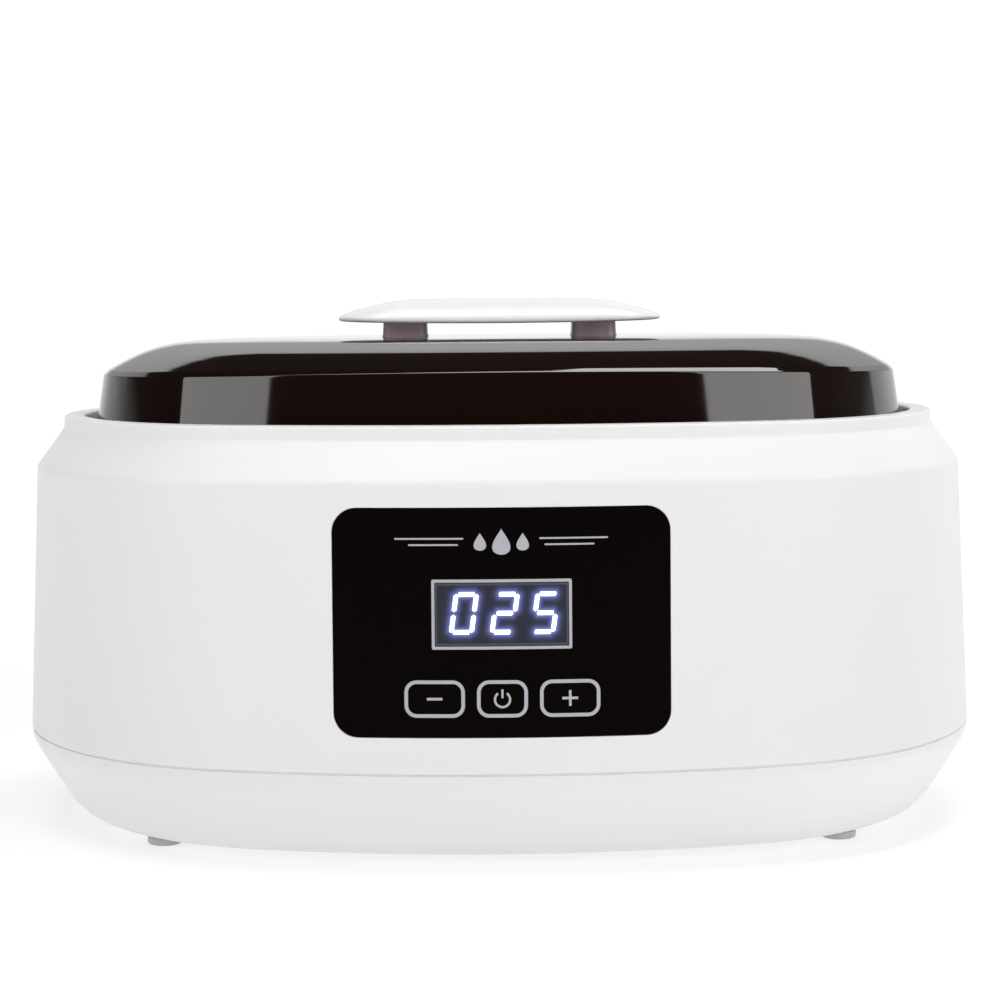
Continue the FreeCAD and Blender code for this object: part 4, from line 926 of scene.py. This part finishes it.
def make_handle(materials):
    """The white bar across the lid: a curved underside, thin ends and a low crown.

    Each row is an outline's length, depth and corner radius, and its level.
    """
    path = [(60.0, 3.0, 1.0, 160.7), (74.0, 10.0, 4.5, 160.7), (88.0, 20.0, 9.0, 160.7),
            (97.0, 28.4, 12.0, 160.7), (101.4, 32.4, 13.8, 160.72), (103.8, 34.4, 14.8, 160.82),
            (105.2, 35.5, 15.3, 161.05), (105.8, 36.0, 15.5, 161.4), (105.8, 36.0, 15.5, 161.9),
            (105.2, 35.7, 15.4, 162.4), (103.8, 35.0, 15.1, 163.0), (101.4, 34.0, 14.6, 163.7),
            (98.2, 32.7, 14.0, 164.4), (94.4, 31.1, 13.2, 165.1), (90.4, 29.3, 12.3, 165.7),
            (86.0, 27.2, 11.2, 166.3), (81.4, 24.8, 10.1, 166.88), (76.4, 22.0, 8.8, 167.4),
            (70.6, 18.8, 7.4, 167.86), (64.0, 15.0, 5.8, 168.23), (56.0, 10.4, 4.0, 168.52),
            (47.0, 5.4, 2.0, 168.66), (41.0, 2.0, 0.8, 168.7)]
    outlines = []
    for length, depth, radius, level in path:
        curl = TIP_RISE * max(0.0, min(1.0, (166.0 - level) / 4.0))
        outlines.append([(x + HANDLE_SHIFT, y, level + curl * (x / 53.0) ** 2)
                         for x, y in dense_rect(length, depth, radius)])
    bm = bmesh.new()
    stacked(bm, outlines)
    bar = add_object("handle_bar", bm, 60.0)
    dressed(bar, "lid", materials["handle_white"], "handle_white", "lid_handle")


# ----------------------------------------------------------- floor and light


FLOOR_RADIUS = 14000.0
# The floor's own light at (place, level) stops between two distances from the object, in metres:
# weaker near the object, as painted shade around and under it.
FLOOR_NEAR, FLOOR_FAR, FLOOR_SHADED_GLOW_STOPS = 0.25, 2.2, ((0.0, 0.62), (0.3, 0.76), (1.0, 1.0))


def make_floor():
    """A plain pale table top that runs out of sight and glows a little, as a light table does; its
    glow is painted darker near the object, as painted shade where the object shades the floor.
    """
    bm = bmesh.new()
    bmesh.ops.create_circle(bm, cap_ends=True, segments=96, radius=FLOOR_RADIUS)
    floor = add_object("floor", bm)
    material, tree, shader = base_material("floor_white", (0.42, 0.42, 0.42), 0.9,
                                           Specular_IOR_Level=0.0, Emission_Strength=1.0)
    vector = coordinates(tree)
    away = add_node(tree, "ShaderNodeVectorMath", operation="LENGTH")
    tree.links.new(vector, away.inputs[0])
    reach = add_node(tree, "ShaderNodeMapRange", {"From Min": FLOOR_NEAR, "From Max": FLOOR_FAR})
    tree.links.new(away.outputs["Value"], reach.inputs["Value"])
    # painted shade: the floor glows less near the object, where its shadow falls
    glow = ramp(tree, reach.outputs["Result"], FLOOR_SHADED_GLOW_STOPS)
    tree.links.new(glow, shader.inputs["Emission Color"])
    bump = add_node(tree, "ShaderNodeBump", {"Strength": 0.2, "Distance": 0.05 * MM})
    tree.links.new(noise(tree, vector, 400.0), bump.inputs["Height"])
    tree.links.new(bump.outputs["Normal"], shader.inputs["Normal"])
    floor.data.materials.append(material)


def ramp(tree, source, stops):
    """A factor mapped through (position, value) stops."""
    node = add_node(tree, "ShaderNodeValToRGB")
    elements = node.color_ramp.elements
    elements[0].position, elements[0].color = stops[0][0], (*[stops[0][1]] * 3, 1)
    elements[1].position, elements[1].color = stops[-1][0], (*[stops[-1][1]] * 3, 1)
    for position, level in stops[1:-1]:
        elements.new(position).color = (level, level, level, 1)
    tree.links.new(source, node.inputs["Fac"])
    return node.outputs["Color"]


def calculate(tree, operation, first, second=None):
    """A Math node on sockets or numbers."""
    node = add_node(tree, "ShaderNodeMath", operation=operation)
    for socket, value in zip(node.inputs, (first, second)):
        if isinstance(value, (int, float)):
            socket.default_value = value
        elif value is not None:
            tree.links.new(value, socket)
    return node.outputs["Value"]


def half_range(tree, source):
    """A direction's -1..1 component as 0..1."""
    return calculate(tree, "MULTIPLY", calculate(tree, "ADD", source, 1.0), 0.5)


# The studio's brightness at (place, level) stops, each place from 0 to 1: from straight down to
# straight up, from in front to behind, from left to right, and the strip along the horizon.
UPWARD_STOPS = ((0.0, 1.0), (0.564, 1.0), (0.58, 0.6), (0.61, 0.6), (0.671, 0.82), (0.75, 1.2),
                (0.778, 1.25), (0.79, 0.03), (1.0, 0.02))
ROUND_STOPS = ((0.0, 0.03), (0.2, 0.04), (0.3, 0.06), (0.715, 0.07), (0.74, 0.8), (0.86, 0.95),
               (0.94, 1.04), (1.0, 1.04))
ACROSS_STOPS = ((0.0, 0.55), (0.25, 1.0), (0.75, 1.0), (1.0, 1.9))
HORIZON_STOPS, HORIZON_LEVEL = ((0.0, 1.0), (0.53, 1.0), (0.56, 0.0), (1.0, 0.0)), 0.85


def make_world():
    """A white studio: bright behind, dimmer at the sides, and dark overhead and in front."""
    world = bpy.data.worlds.new("studio")
    world.use_nodes = True
    tree = world.node_tree
    background = next(n for n in tree.nodes if n.type == "BACKGROUND")
    background.inputs["Color"].default_value = (1, 1, 1, 1)
    where = add_node(tree, "ShaderNodeTexCoord")
    split = add_node(tree, "ShaderNodeSeparateXYZ")
    tree.links.new(where.outputs["Generated"], split.inputs["Vector"])
    height = half_range(tree, split.outputs["Z"])
    flat = calculate(tree, "SQRT", calculate(tree, "ADD",
                     calculate(tree, "MULTIPLY", split.outputs["X"], split.outputs["X"]),
                     calculate(tree, "MULTIPLY", split.outputs["Y"], split.outputs["Y"])))
    facing = half_range(tree, calculate(tree, "DIVIDE", split.outputs["Y"], flat))
    sideways = half_range(tree, calculate(tree, "DIVIDE", split.outputs["X"], flat))
    band = ramp(tree, height, UPWARD_STOPS)
    round_about = ramp(tree, facing, ROUND_STOPS)
    tilt = ramp(tree, sideways, ACROSS_STOPS)
    upper = calculate(tree, "MULTIPLY", calculate(tree, "MULTIPLY", band, round_about), tilt)
    low = ramp(tree, height, HORIZON_STOPS)
    level = calculate(tree, "MAXIMUM", upper, calculate(tree, "MULTIPLY", low, HORIZON_LEVEL))
    tree.links.new(level, background.inputs["Strength"])
    bpy.context.scene.world = world


def area_light(name, place, aim, size, power, color=(1, 1, 1)):
    """A softbox of a (width, height) in metres, at a place, facing a point of the object."""
    data = bpy.data.lights.new(name, "AREA")
    data.shape = "RECTANGLE"
    data.size, data.size_y = size
    data.energy = power
    data.color = color
    lamp = bpy.data.objects.new(name, data)
    lamp.location = place
    lamp.rotation_euler = (Vector(aim) - Vector(place)).to_track_quat("-Z", "Y").to_euler()
    bpy.context.scene.collection.objects.link(lamp)


def make_lights():
    """Two tall softboxes either side of the camera and a long narrow one overhead."""
    area_light("softbox_left", (-1.395, -1.094, 0.75), (0, 0, 0.12), (1.32, 0.7), 10.9,
               (1.0, 0.965, 0.97))
    area_light("softbox_right", (1.334, -1.163, 0.75), (0, 0, 0.12), (1.31, 0.9), 16.3,
               (1.0, 0.97, 0.975))
    area_light("softbox_top", (0.08, -0.1, 1.5), (0, 0, 0.1), (1.6, 0.44), 17.5)


make_camera()
looks = make_materials()
dress_frame(looks)
make_upper_casing(looks)
make_lower_casing(looks)
make_feet(looks)
make_tub(looks)
make_panel(looks)
make_keys(looks)
make_display(looks)
make_ornament(looks)
make_lid(looks)
make_handle(looks)
make_floor()
make_world()
make_lights()
bpy.context.scene.view_settings.view_transform = "Standard"
